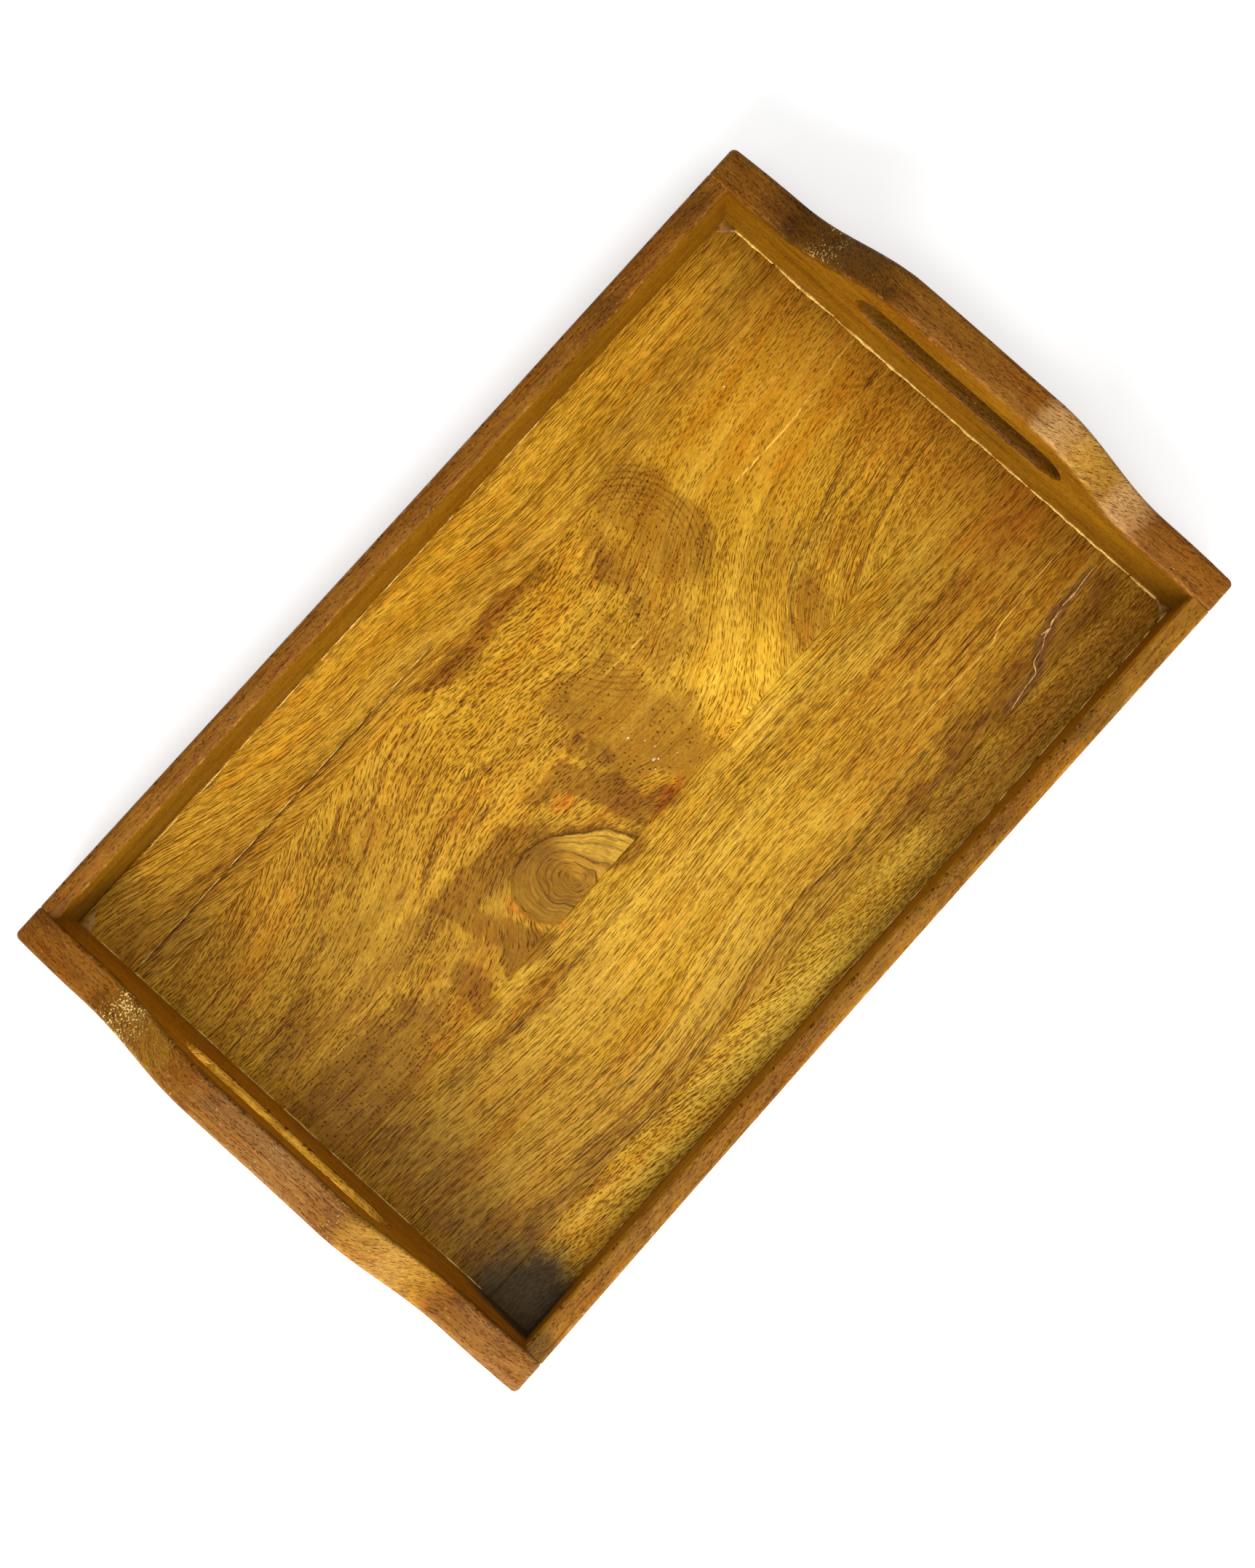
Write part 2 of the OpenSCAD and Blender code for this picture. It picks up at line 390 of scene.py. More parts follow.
def knot_colours(n, place, colour, jitter, cloud):
    """A brown eye with a dark outline, then pale crescents on the knot's open side. Returns the
    colour and the knot's mask."""
    ring, turn, _ = n.parts(n.attribute("marks"))
    ring = n.add(ring, n.line(n.lumps(place, 12, 2), 0.3, 0.7, -0.035, 0.035))
    within = n.smooth(ring, 1.02, 0.97)
    open_side = n.smooth(turn, 0.2, 0.85)
    lines = n.noise(n.joined(n.times(ring, 15), n.times(turn, 0.3)), 3, 0.6)
    mottled = n.lumps(place, (5, 3, 4), 5, 0.7)

    shell = n.mix(open_side, srgb(140, 96, 18), srgb(224, 176, 62))
    shell = n.mix(n.smooth(mottled, 0.42, 0.62, 0, 0.35), shell, srgb(158, 112, 28))
    shell = n.mix(n.smooth(lines, 0.44, 0.62, 0, 0.4), shell, srgb(124, 80, 14))
    eye = n.smooth(ring, EYE_RING + 0.01, EYE_RING - 0.03)
    iris = n.mix(n.smooth(turn, -0.2, 0.9), srgb(128, 82, 10), srgb(166, 116, 28))
    knot = n.mix(n.times(eye, 0.9), shell, iris)
    from_pith = n.add(n.vector("DISTANCE", place, KNOT_PITH), n.times(jitter, 3))
    knot = n.mix(n.smooth(from_pith, 4, 1.5, 0, 0.75), knot, srgb(110, 62, 16))
    inner_gap = n.times(n.near(n.math("SUBTRACT", ring, 0.4), 0.02, 0.1), open_side)
    knot = n.mix(n.times(inner_gap, 0.8), knot, srgb(196, 146, 50))
    colour = n.mix(n.times(within, n.smooth(jitter, -0.5, 0.1, 0.95, 0.7)), colour, knot)

    # Dark rings, as (ring, half its width, depth)
    uneven = n.smooth(cloud, 0.25, 0.75, 0.55, 1)
    outline_depth = n.times(n.smooth(turn, -1, 0, 0.3, 1), 0.85)
    for radius, wide, depth in ((1.0, 0.05, outline_depth), (EYE_RING, 0.035, 0.85),
                                (0.78, 0.018, 0.4), (0.9, 0.014, 0.35), (0.4, 0.018, 0.35),
                                (0.3, 0.02, 0.35)):
        edge = n.near(n.math("SUBTRACT", ring, radius), 0.0, wide)
        colour = n.mix(n.times(edge, n.times(uneven, depth)), colour, srgb(84, 50, 10))
    return colour, within


def line_colours(n, grain, colour):
    """Dark veins and pale scratches"""
    vein, vein_depth, _ = n.parts(n.attribute("veins"))
    scratch, scratch_depth, _ = n.parts(n.attribute("scratches"))
    thin = n.lumps(grain, (5, 0.5, 1), 2)
    worn = n.lumps(grain, (10, 2, 1), 3)
    vein_mask = n.times(n.near(vein, 0.3, 1.2), n.times(vein_depth, n.smooth(thin, 0.38, 0.52)))
    colour = n.tint(n.times(vein_mask, 0.85), colour, (0.32, 0.23, 0.12))
    scratch_mask = n.times(n.near(scratch, 0.15, 0.6), scratch_depth)
    scratch_mask = n.times(scratch_mask, n.smooth(worn, 0.22, 0.36))
    return n.mix(scratch_mask, colour, srgb(248, 196, 84))


# ---------------- mesh helpers

SHARP_ANGLE = math.radians(35)    # edges that turn further than this stay sharp


def make_object(name, vertices, faces, grain, **attributes):
    """A mesh object from places in millimetres, with its grain and other vector attributes"""
    mesh = bpy.data.meshes.new(name)
    mesh.from_pydata([tuple(v) for v in np.asarray(vertices) * MM], [], faces)
    for key, values in dict(attributes, grain=grain).items():
        made = mesh.attributes.new(key, "FLOAT_VECTOR", "POINT")
        made.data.foreach_set("vector", np.asarray(values, np.float32).ravel())
    piece = bpy.data.objects.new(name, mesh)
    bpy.context.collection.objects.link(piece)
    work = bmesh.new()
    work.from_mesh(mesh)
    bmesh.ops.recalc_face_normals(work, faces=work.faces)
    for face in work.faces:
        face.smooth = True
    for edge in work.edges:
        if len(edge.link_faces) == 2:
            edge.smooth = edge.calc_face_angle() < SHARP_ANGLE
    work.to_mesh(mesh)
    work.free()
    return piece


def strip_faces(ring_count, around, first=0):
    """Quads between closed rings of equal length, whose vertices start at index first"""
    faces = []
    for start in range(first, first + (ring_count - 1) * around, around):
        for j in range(around):
            k = (j + 1) % around
            faces.append((start + j, start + k, start + around + k, start + around + j))
    return faces


def tube_faces(ring_count, around, first=0):
    """strip_faces, with a face over each end"""
    last = first + (ring_count - 1) * around
    ends = [tuple(range(start, start + around)) for start in (first, last)]
    return strip_faces(ring_count, around, first) + ends


def inside(points, outline):
    """Which of points lie inside the closed outline, by counting crossings"""
    x, y = points[:, 0, None], points[:, 1, None]
    a, b = outline, np.roll(outline, -1, axis=0)
    spans = (a[:, 1] > y) != (b[:, 1] > y)
    rise = np.where(b[:, 1] == a[:, 1], 1e-9, b[:, 1] - a[:, 1])
    crossing = a[:, 0] + (y - a[:, 1]) / rise * (b[:, 0] - a[:, 0])
    return (spans & (x < crossing)).sum(1) % 2 == 1


def wander(x, y, seed):
    """x and y pushed about by a few waves, so that outlines drawn there look grown"""
    waves = np.random.default_rng(seed)
    moved = [x.copy(), y.copy()]
    for length, reach in ((40, 1.6), (21, 1.2), (11, 0.8), (6, 0.5)):
        for axis in (0, 1):
            turn, phase = waves.uniform(0, 2 * math.pi, 2)
            run = (x * math.cos(turn) + y * math.sin(turn)) * 2 * math.pi / length
            moved[axis] = moved[axis] + reach * np.sin(run + phase)
    return moved


def along_segment(x, y, a, b):
    """Signed distance of each place to the segment from a to b, and where along it the foot is"""
    run = (b[0] - a[0], b[1] - a[1])
    t = ((x - a[0]) * run[0] + (y - a[1]) * run[1]) / (run[0] ** 2 + run[1] ** 2)
    t = np.clip(t, 0, 1)
    gap = np.hypot(x - a[0] - t * run[0], y - a[1] - t * run[1])
    side = np.sign(run[0] * (y - a[1]) - run[1] * (x - a[0]))
    return gap * np.where(side == 0, 1, side), t


def patch_field(x, y, patches):
    """The strongest of the patches at each place. A patch is (strength, softness, outline), and its
    share rises from 0 to its strength over softness mm each side of its outline."""
    field = np.zeros_like(x)
    places = np.stack([x, y], -1)
    for strength, soft, outline in patches:
        gap = np.full_like(x, 99.0)
        for a, b in zip(outline, outline[1:] + outline[:1]):
            gap = np.minimum(gap, np.abs(along_segment(x, y, a, b)[0]))
        within = np.where(inside(places, np.array(outline, float)), gap, -gap)
        rise = np.clip(0.5 + 0.5 * within / (1.8 * soft), 0, 1)
        field = np.maximum(field, strength * rise * rise * (3 - 2 * rise))
    return field


def line_field(x, y, lines):
    """For the nearest of some open lines, each (depth, points): the signed distance to it, and its
    depth, which fades at both of its ends and more than 2 mm from it"""
    offset = np.full_like(x, 4.0)
    depth = np.zeros_like(x)
    for strength, points in lines:
        total = sum(math.dist(a, b) for a, b in zip(points, points[1:]))
        run = 0.0
        for a, b in zip(points, points[1:]):
            gap, t = along_segment(x, y, a, b)
            nearer = np.abs(gap) < np.abs(offset)
            share = (run + t * math.dist(a, b)) / total
            fade = np.clip(6 * np.minimum(share, 1 - share) + 0.3, 0, 1)
            fade = fade * np.clip(3 - np.abs(gap), 0, 1)
            offset = np.where(nearer, gap, offset)
            depth = np.where(nearer, strength * fade, depth)
            run += math.dist(a, b)
    return np.stack([offset, depth, np.zeros_like(x)], -1)


# ---------------- floor staves

def block(low_x, high_x, low_y, high_y):
    """Outline of an upright rectangle"""
    return [(low_x, low_y), (high_x, low_y), (high_x, high_y), (low_x, high_y)]


# How the fibres rise along X, as (x, slope at the stave's front edge, slope at its back edge)
STAVE_SLOPES = [
    [(-185, -0.05, -0.1), (-160, -0.2, -0.35), (-100, -0.3, -0.4), (-72, -0.1, -0.3), (-50, -0.05, -0.05),
        (-15, -0.2, -0.15), (25, -0.28, -0.3), (60, 0.0, -0.02), (110, 0.06, 0.02), (185, 0.03, 0.02)],
    [(-185, -0.08, -0.1), (-150, -0.1, 0.25), (-110, 0.02, 0.42), (-70, 0.15, 0.35), (-30, 0.1, -0.05),
        (10, -0.1, -0.1), (45, 0.35, 0.05), (80, 0.95, 0.2), (110, 0.55, 0.15), (150, 0.22, 0.1),
        (185, 0.05, 0.08)],
    [(-185, -0.08, -0.02), (-140, -0.18, -0.08), (-95, -0.08, -0.06), (-60, 0.14, -0.02),
        (-20, 0.2, 0.03), (20, -0.02, 0.02), (45, -0.06, -0.02), (90, 0.08, -0.03), (185, 0.02, 0.0)],
    [(-185, -0.1, -0.1), (-100, -0.18, -0.12), (-40, -0.1, -0.22), (20, -0.05, -0.15), (90, 0.0, -0.1),
        (185, -0.04, -0.02)],
]

# Patches of the floor, in millimetres: (strength, softness, outline). The figure comes first.
HEARTWOOD = [
    (0.4, 7, [(-190, 6), (-150, 8), (-120, 14), (-96, 22), (-80, 24), (-68, -2), (-68, -24), (-118, -24),
        (-150, -8), (-190, -6)]),
    (1.0, 2.5, [(-90, 4), (-91, 18), (-84, 23), (-79, 24), (-70, 19), (-61, 20), (-52, 21), (-47, 16),
        (-40, 10), (-34, 2), (-27, -6), (-21, -14), (-16, -24), (-30, -24), (-40, -4), (-60, 4), (-70, 8),
        (-77, 6), (-79, 0), (-74, -8), (-69, -20), (-69, -24), (-89, -24), (-88, -8)]),
    (0.85, 3, [(-112, -24), (-109, -8), (-104, -2), (-96, -4), (-95, -12), (-97, -24)]),
    (0.6, 3, [(-140, 9), (-118, 7), (-104, 4), (-92, 6), (-94, -2), (-120, 0), (-140, 3)]),
    (1.0, 2.5, [(-39, 22), (-32, 24), (-26, 23), (-16, 17), (-7, 6), (-2, -8), (-7, -24), (-15, -21),
        (-17, -14), (-20, -4), (-20, 5), (-24, 13), (-32, 15)]),
    (0.7, 3, [(-16, 24), (-6, 28), (2, 14), (-2, 4), (-10, 12)]),
    (0.7, 2, [(-14, -12), (4, -12), (8, -24), (-16, -24)]),
    (0.95, 2, [(-36, 81), (-30, 75), (-16, 71), (-4, 71), (4, 75), (14, 71), (28, 73), (40, 77),
        (36, 81)]),
    (0.5, 3, [(-167, 33), (-158, 39), (-146, 40), (-142, 34), (-150, 27), (-162, 24), (-168, 28)]),
    (0.35, 4, [(130, 10), (138, 18), (154, 21), (148, 12)]),
    (0.5, 3, [(44, 50), (48, 62), (60, 66), (62, 54), (54, 47)]),
    (0.45, 3, [(43, 35), (46, 43), (55, 41), (53, 33)]),
    (0.45, 8, [(-188, -20), (-160, -20), (-148, -26), (-150, -50), (-144, -62), (-150, -72), (-146, -84),
        (-160, -94), (-188, -92)]),
    (0.5, 3, [(-140, -27), (-62, -29), (-58, -36), (-84, -42), (-100, -41), (-140, -37)]),
    (0.8, 5, [(40, -99), (60, -88), (100, -84), (120, -82), (140, -84), (180, -87), (188, -99)]),
    (0.6, 3, [(60, -97), (84, -88), (110, -84), (132, -86), (120, -92), (104, -97)]),
    (0.65, 3, [(-162, -87), (-120, -86), (-90, -92), (-60, -95), (-60, -99), (-165, -99)]),
    (0.4, 2, [(-188, 88), (-120, 88), (-60, 87), (-70, 84), (-120, 82), (-188, 84)]),
    (0.5, 3, [(60, -46), (120, -44), (187, -46), (187, -52), (120, -52), (70, -52)]),
]
GREY_FIGURE = [
    (1.0, 3, [(-5, 37), (4, 41), (12, 38), (20, 36), (29, 40), (31, 28), (30, 12), (34, 6), (37, -2),
        (33, -8), (31, -24), (8, -24), (4, -12), (-6, -2), (-9, 8), (-3, 14), (-6, 24)]),
    (0.95, 3, [(66, 81), (68, 62), (63, 52), (61, 40), (66, 30), (74, 25), (84, 28), (91, 38), (94, 50),
        (94, 66), (91, 81)]),
    (0.55, 4, [(14, 36), (20, 50), (40, 52), (46, 44), (40, 34), (28, 28)]),
    (0.65, 4, [(30, 36), (46, 38), (66, 34), (68, 20), (58, 12), (34, 8)]),
    (0.75, 4, [(42, 32), (43, 58), (50, 72), (60, 79), (68, 76), (66, 54), (64, 34)]),
    (0.7, 4, [(-188, 28), (-170, 30), (-150, 26), (-128, 24), (-104, 24), (-88, 20), (-92, 8), (-110, 6),
        (-124, 12), (-188, 14)]),
    (0.95, 5, [(-188, 14), (-150, 10), (-125, 4), (-112, -6), (-116, -14), (-150, -24), (-188, -24)]),
    (0.5, 3, [(-126, 38), (-110, 41), (-88, 38), (-84, 28), (-100, 24), (-124, 24)]),
    (0.6, 3, [(-122, 54), (-100, 63), (-80, 63), (-66, 57), (-80, 50), (-112, 49)]),
    (0.6, 5, [(-188, 108), (-172, 112), (-160, 112), (-164, 104), (-172, 90), (-188, 88)]),
    (0.6, 6, [(-188, -62), (-176, -60), (-158, -76), (-150, -90), (-160, -99), (-188, -99)]),
    (0.85, 3, [(75, -24), (78, -12), (88, -3), (100, 0), (108, -2), (106, -8), (98, -16), (90, -24)]),
    (0.5, 3, [(110, -4), (126, 4), (148, 4), (146, -3), (122, -10)]),
]
# Orange patches of wood; at the floor's right end and front right corner they also give the painted shade
# its redder hue
GLOW = [
    (1.0, 2, [(-35, 7), (-33, 12), (-28, 13), (-22, 9), (-22, 3), (-30, 3)]),
    (0.9, 2, [(-13, -23), (-10, -18), (-2, -16), (4, -16), (8, -18), (6, -23)]),
    (0.75, 2, [(-72, -2), (-68, 1), (-64, -4), (-66, -12), (-61, -24), (-66, -24), (-70, -12)]),
    (0.45, 3, [(-52, 12), (-50, 20), (-42, 24), (-38, 14), (-44, 11)]),
    (0.55, 14, [(150, -60), (146, 20), (150, 40), (160, 50), (188, 55), (188, -70), (165, -66)]),
    (0.4, 10, [(100, 62), (140, 72), (188, 76), (188, 58), (140, 54)]),
    (0.4, 14, [(90, 84), (120, 20), (190, 10), (190, 84)]),
    (0.7, 7, [(140, -40), (150, -32), (188, -32), (188, -60), (165, -66), (150, -52)]),
    (0.45, 10, [(-170, 46), (-150, 50), (-120, 58), (-100, 76), (-140, 80), (-160, 60)]),
    (0.5, 4, [(-160, -97), (-120, -97), (-100, -106), (-150, -113)]),
    (0.6, 3, [(-30, 81), (-10, 77), (10, 74), (30, 76), (38, 81)]),
    (0.3, 5, [(44, 60), (60, 76), (66, 62), (56, 50)]),
    (0.5, 7, block(56, 192, -120, -97)),
    (0.45, 14, [(50, -50), (110, -34), (200, -34), (200, -97), (50, -97)]),
    (0.35, 6, [(-96, 28), (-78, 40), (-50, 42), (-34, 34), (-52, 22), (-80, 25)]),
    (0.3, 9, [(-150, 62), (-110, 66), (-60, 72), (-60, 62), (-110, 46), (-150, 44)]),
    (0.4, 5, [(-150, 96), (-120, 92), (-80, 84), (-120, 84), (-160, 92)]),
]
# Purplish wood round the split
BRUISED = [
    (1.0, 1.3, [(112, -95), (117, -93), (125, -92.6), (132, -91.6), (136, -88.5), (142, -85),
        (150, -82.6), (156, -81.4), (164, -82), (178, -81.6), (179, -83.6), (172, -85.4), (160, -86),
        (151, -88), (142, -91), (137, -94), (131, -96.5), (114, -96.5)]),
]
# Painted shade: along the floor, as (x, share), towards both ends, where the end boards shade the
# floor and the light falls off; and in patches, which are painted shade along the walls' feet and
# in the front rail's shadow, and elsewhere darker patches
SHADE_ALONG = [(-186, 0.25), (-178, 0.15), (-160, 0.1), (-140, 0.05), (-95, 0.0),
               (90, 0.0), (150, 0.15), (172, 0.48), (180, 0.66), (186, 0.8)]
SHADED = [
    (0.42, 14, [(-172, -26), (-128, -20), (-108, -36), (-92, -60), (-80, -90), (-60, -97), (-172, -97)]),
    (0.38, 12, [(104, -30), (130, -22), (200, -22), (200, -84), (120, -80), (104, -60)]),
    (0.32, 10, block(50, 200, -97, -62)),
    (0.3, 6, [(-90, -82), (110, -76), (110, -98), (-90, -98)]),
    (0.24, 5, block(44, 104, -40, -24)),
    (0.24, 6, block(-110, -62, -62, -24)),
    (0.24, 9, [(-112, 22), (-90, 34), (-40, 14), (-16, -8), (-16, -24), (-112, -24)]),
    (0.42, 5, [(-92, -2), (-76, 12), (-56, 14), (-40, 4), (-70, -6)]),
    (0.36, 5, [(-92, -2), (-70, -6), (-70, -24), (-92, -24)]),
    (0.24, 6, [(-22, -24), (-22, 6), (-2, 6), (2, -24)]),
    (0.2, 6, [(34, 18), (50, 20), (52, 2), (36, 0)]),
    (0.2, 8, [(-150, 18), (-128, 20), (-124, 4), (-150, 4)]),
    (0.16, 8, [(90, 58), (110, 62), (112, 40), (94, 40)]),
    (0.22, 5, [(-30, 24), (-30, 38), (6, 38), (2, 24)]),
    (0.3, 5, [(92, -2), (92, 20), (112, 24), (114, 4)]),
    (0.24, 8, [(-120, 62), (-50, 58), (-50, 76), (-120, 76)]),
    (0.27, 5, block(-186, 186, 79, 96)),
    (0.26, 12, block(-150, -60, 20, 60)),
    # Painted shadow of the front rail on the front stave's right part
    (0.68, 8, block(60, 174, -118, -97)),
    (0.5, 16, [(50, -120), (80, -98), (120, -86), (174, -78), (174, -120)]),
    # Painted shade where the floor meets the front rail and the back rail
    (0.7, 3, block(-190, 190, -120, -114.5)),
    (0.5, 2.5, block(-190, 190, 115, 120)),
]
# Paler patches, in part painted light
PAINTED_LIGHT_AND_PALE = [
    (0.7, 7, [(38, -24), (36, -6), (44, 8), (70, 0), (84, -16), (80, -24)]),
    (0.12, 12, [(96, 20), (100, 60), (140, 66), (144, 30), (130, 14)]),
    (0.1, 5, block(-160, 160, 102, 116)),
    (0.3, 5, block(-160, 0, -116, -98)),
    (0.3, 6, block(46, 74, 84, 97)),
    (0.2, 6, block(-32, -8, -38, -24)),
    (0.2, 8, block(-10, 72, 104, 117)),
    (0.3, 5, block(-187, -174, 22, 38)),
]
# Where few fibres show
CALM = [
    (1.0, 9, [(98, 22), (96, 74), (176, 76), (184, 34), (150, 26), (120, 18)]),
    (0.8, 4, [(-112, -24), (-110, -4), (-92, 2), (-88, 20), (-72, 20), (-68, -24)]),
    (0.7, 4, [(-34, 22), (-18, 22), (-2, 0), (-2, -24), (-20, -24), (-22, 0)]),
    (0.7, 4, [(2, 34), (28, 34), (33, 0), (32, -24), (6, -24), (-2, 4)]),
    (0.6, 6, [(-128, 46), (-86, 46), (-82, 22), (-124, 18)]),
    (0.55, 10, [(36, -22), (40, 14), (70, 20), (92, 0), (76, -22)]),
    (0.5, 12, [(-130, -40), (20, -44), (40, -66), (-20, -74), (-130, -66)]),
    (0.5, 10, [(-186, -30), (-140, -30), (-130, -90), (-186, -80)]),
    (0.5, 8, [(-60, 116), (20, 116), (10, 96), (-40, 92)]),
    (0.6, 5, [(108, -80), (180, -76), (180, -96), (108, -96)]),
    (0.6, 8, [(130, -26), (186, -26), (186, -64), (140, -60)]),
]
# Dark veins and pale scratches: (depth, points)
VEINS = [
    (1.0, [(-186, 87.1), (-140, 87.2), (-100, 87.1), (-60, 87.2), (-14, 87.0)]),
    (0.9, [(-90, -93), (-42, -92), (-10, -86), (9, -83), (30, -87), (60, -83), (120, -79)]),
    (1.0, [(80, -20), (86, -8), (96, 1), (108, 5), (130, 12), (152, 20)]),
    (0.9, [(103, -21), (118, -16), (136, -9), (160, -4), (186, -2)]),
    (0.8, [(92, -2), (110, -8), (126, -1), (160, 2)]),
    (0.7, [(112, 3), (128, 8), (150, 9)]),
    (1.0, [(-92, 24), (-84, 30), (-78, 33), (-70, 36), (-62, 36)]),
    (0.9, [(-86, 27), (-76, 31), (-69, 33)]),
    (0.8, [(-50, 44), (-42, 42), (-34, 40), (-28, 40)]),
    (0.9, [(-57, 29), (-52, 28), (-46, 30)]),
    (0.8, [(-120, 54), (-112, 58), (-100, 61), (-90, 65), (-80, 67), (-74, 68)]),
    (0.9, [(-86, 62), (-78, 63), (-70, 65)]),
    (0.8, [(-120, 50), (-112, 52), (-106, 51)]),
    (0.8, [(-152, 63), (-142, 64), (-134, 65)]),
    (0.9, [(-33, 63.5), (-26, 64), (-20, 65)]),
    (0.7, [(-130, -33), (-90, -36), (-20, -35), (40, -33), (90, -30)]),
    (0.6, [(-110, -84), (-60, -80), (-20, -72), (10, -68)]),
    (3.0, [(173, 29.8), (176, 30.3), (180, 30.4)]),
    (0.8, [(-145, 40), (-136, 42), (-125, 43)]),
    (0.8, [(104, 26), (118, 30), (134, 33)]),
    (0.7, [(98, 15), (104, 20), (110, 22)]),
]
SCRATCHES = [
    (0.8, [(110, 42.6), (118, 42.4), (128, 42.2), (146, 42.2), (152, 43.4), (162, 43.8)]),
    (0.6, [(166, 44.2), (174, 45.4), (186, 45.6)]),
    (0.35, [(-168, 12), (-150, 14), (-138, 12), (-124, 11)]),
    (0.35, [(-160, 9), (-148, 8), (-142, 7)]),
    (0.5, [(84, -72), (100, -72.5), (117, -73.3), (125, -73.8)]),
    (1.0, [(125, -73.7), (131, -73.3), (133.4, -72.1), (138, -70.9), (147, -70.2)]),
    (1.0, [(147, -70.2), (158, -69.6), (172, -69.3), (183, -70), (185.5, -68.4)]),
    (0.4, [(-168, 110), (-160, 107), (-150, 104)]),
    (0.4, [(20, 30), (60, 28)]),
]
# The crack along stave 1: its line, and where it starts and ends
CRACK_Y = 87.4
CRACK_X = (-185.0, -16.0)
# Middle of the ripple in the grey figure
RIPPLE_MIDDLE = (60.0, 55.0, FLOOR_TOP)
# Knot cut by a seam: its eye's middle, its pith, and outline as (angle, eye's radius, knot's radius)
KNOT_EYE = (-46.0, -14.0)
KNOT_PITH = (-40.0, -17.0, FLOOR_TOP)
KNOT_OUTLINE = [(-60, 14, 30), (-25, 14, 30), (-14, 10, 29.8), (0, 9, 24.5), (30, 9.4, 18),
                (60, 11.2, 17.5), (90, 13.5, 20), (120, 14, 23), (150, 13, 24.6), (180, 12.5, 21.5),
                (200, 10.5, 18), (240, 12, 18), (300, 14, 30)]
EYE_RING = 0.53                   # the ring measure on the eye's outline


def knot_ring(x, y):
    """0 at the knot's eye, EYE_RING on the eye's outline and 1 on the knot's, and how near a
    place's direction is to the knot's open side"""
    turn, eye, outer = np.array(KNOT_OUTLINE, float).T
    dx, dy = x - KNOT_EYE[0], y - KNOT_EYE[1]
    angle = np.degrees(np.arctan2(dy, dx))
    angle = np.where(angle < -60, angle + 360, angle)
    far = np.hypot(dx, dy)
    eye_r, outer_r = np.interp(angle, turn, eye), np.interp(angle, turn, outer)
    beyond = EYE_RING + (1 - EYE_RING) * (far - eye_r) / (outer_r - eye_r)
    ring = np.where(far < eye_r, EYE_RING * far / eye_r, beyond)
    return ring, np.cos(np.radians(angle - 5))


def stave_grain(index, x, y):
    """Along and across the fibres: x, and the height of the fibre line through the place"""
    xs, front, back = np.array(STAVE_SLOPES[index]).T
    steps = np.linspace(-IN_X - 2, IN_X + 2, 400)
    pitch = steps[1] - steps[0]
    rise_front = np.cumsum(np.interp(steps, xs, front)) * pitch
    rise_back = np.cumsum(np.interp(steps, xs, back)) * pitch
    share = (y - SEAMS_Y[index + 1]) / (SEAMS_Y[index] - SEAMS_Y[index + 1])
    rise = np.interp(x, steps, rise_front) * (1 - share) + np.interp(x, steps, rise_back) * share
    return x, y - rise


def stave_mesh(index):
    """Vertices and faces of a closed stave whose upper face is a fine grid with softened edges"""
    high, low = SEAMS_Y[index], SEAMS_Y[index + 1]
    sunk = 0.6                     # how far a stave reaches into the walls
    step = 1.3                     # spacing of the grid
    soft = 0.35                    # width of the softened edges
    high += sunk if index == 0 else 0
    low -= sunk if index == 3 else 0
    xs = np.linspace(-IN_X - sunk, IN_X + sunk, int(2 * IN_X / step))
    rows = np.linspace(low + soft, high - soft, int((high - low) / step))
    if index == 0:
        # Close rows of vertices along the crack
        around = CRACK_Y + np.array([-0.7, -0.35, -0.12, 0.12, 0.35, 0.7])
        rows = np.sort(np.concatenate([rows[np.abs(rows - CRACK_Y) > 0.9], around]))
    ys = np.concatenate([[low, low, low + 0.3 * soft], rows, [high - 0.3 * soft, high, high]])
    drop = np.zeros(len(ys))
    drop[[1, -2]] = 0.8 * soft
    drop[[2, -3]] = 0.25 * soft
    # The front stave lies a little lower, and none of them is quite flat
    top = FLOOR_TOP - (0.22 if index == 3 else 0.0)
    gx, gy = np.meshgrid(xs, ys, indexing="ij")
    gz = top - np.broadcast_to(drop, gx.shape).copy()
    gz -= 0.12 * (1 + np.sin(gx / 47 + index * 2) * np.cos(gy / 31 + index))
    if index == 0:
        # The crack opens and closes along its length, and runs out at its end
        open_x = (gx > CRACK_X[0]) * np.clip((CRACK_X[1] - gx) / 40, 0, 1)
        open_x = open_x * (0.55 + 0.45 * np.sin(gx / 6.1) * np.sin(gx / 17))
        gz -= 0.5 * open_x * (np.abs(gy - CRACK_Y) < 0.2)
    gz[:, [0, -1]] = FLOOR_LOW
    return np.stack([gx, gy, gz], -1).reshape(-1, 3), tube_faces(len(xs), len(ys))


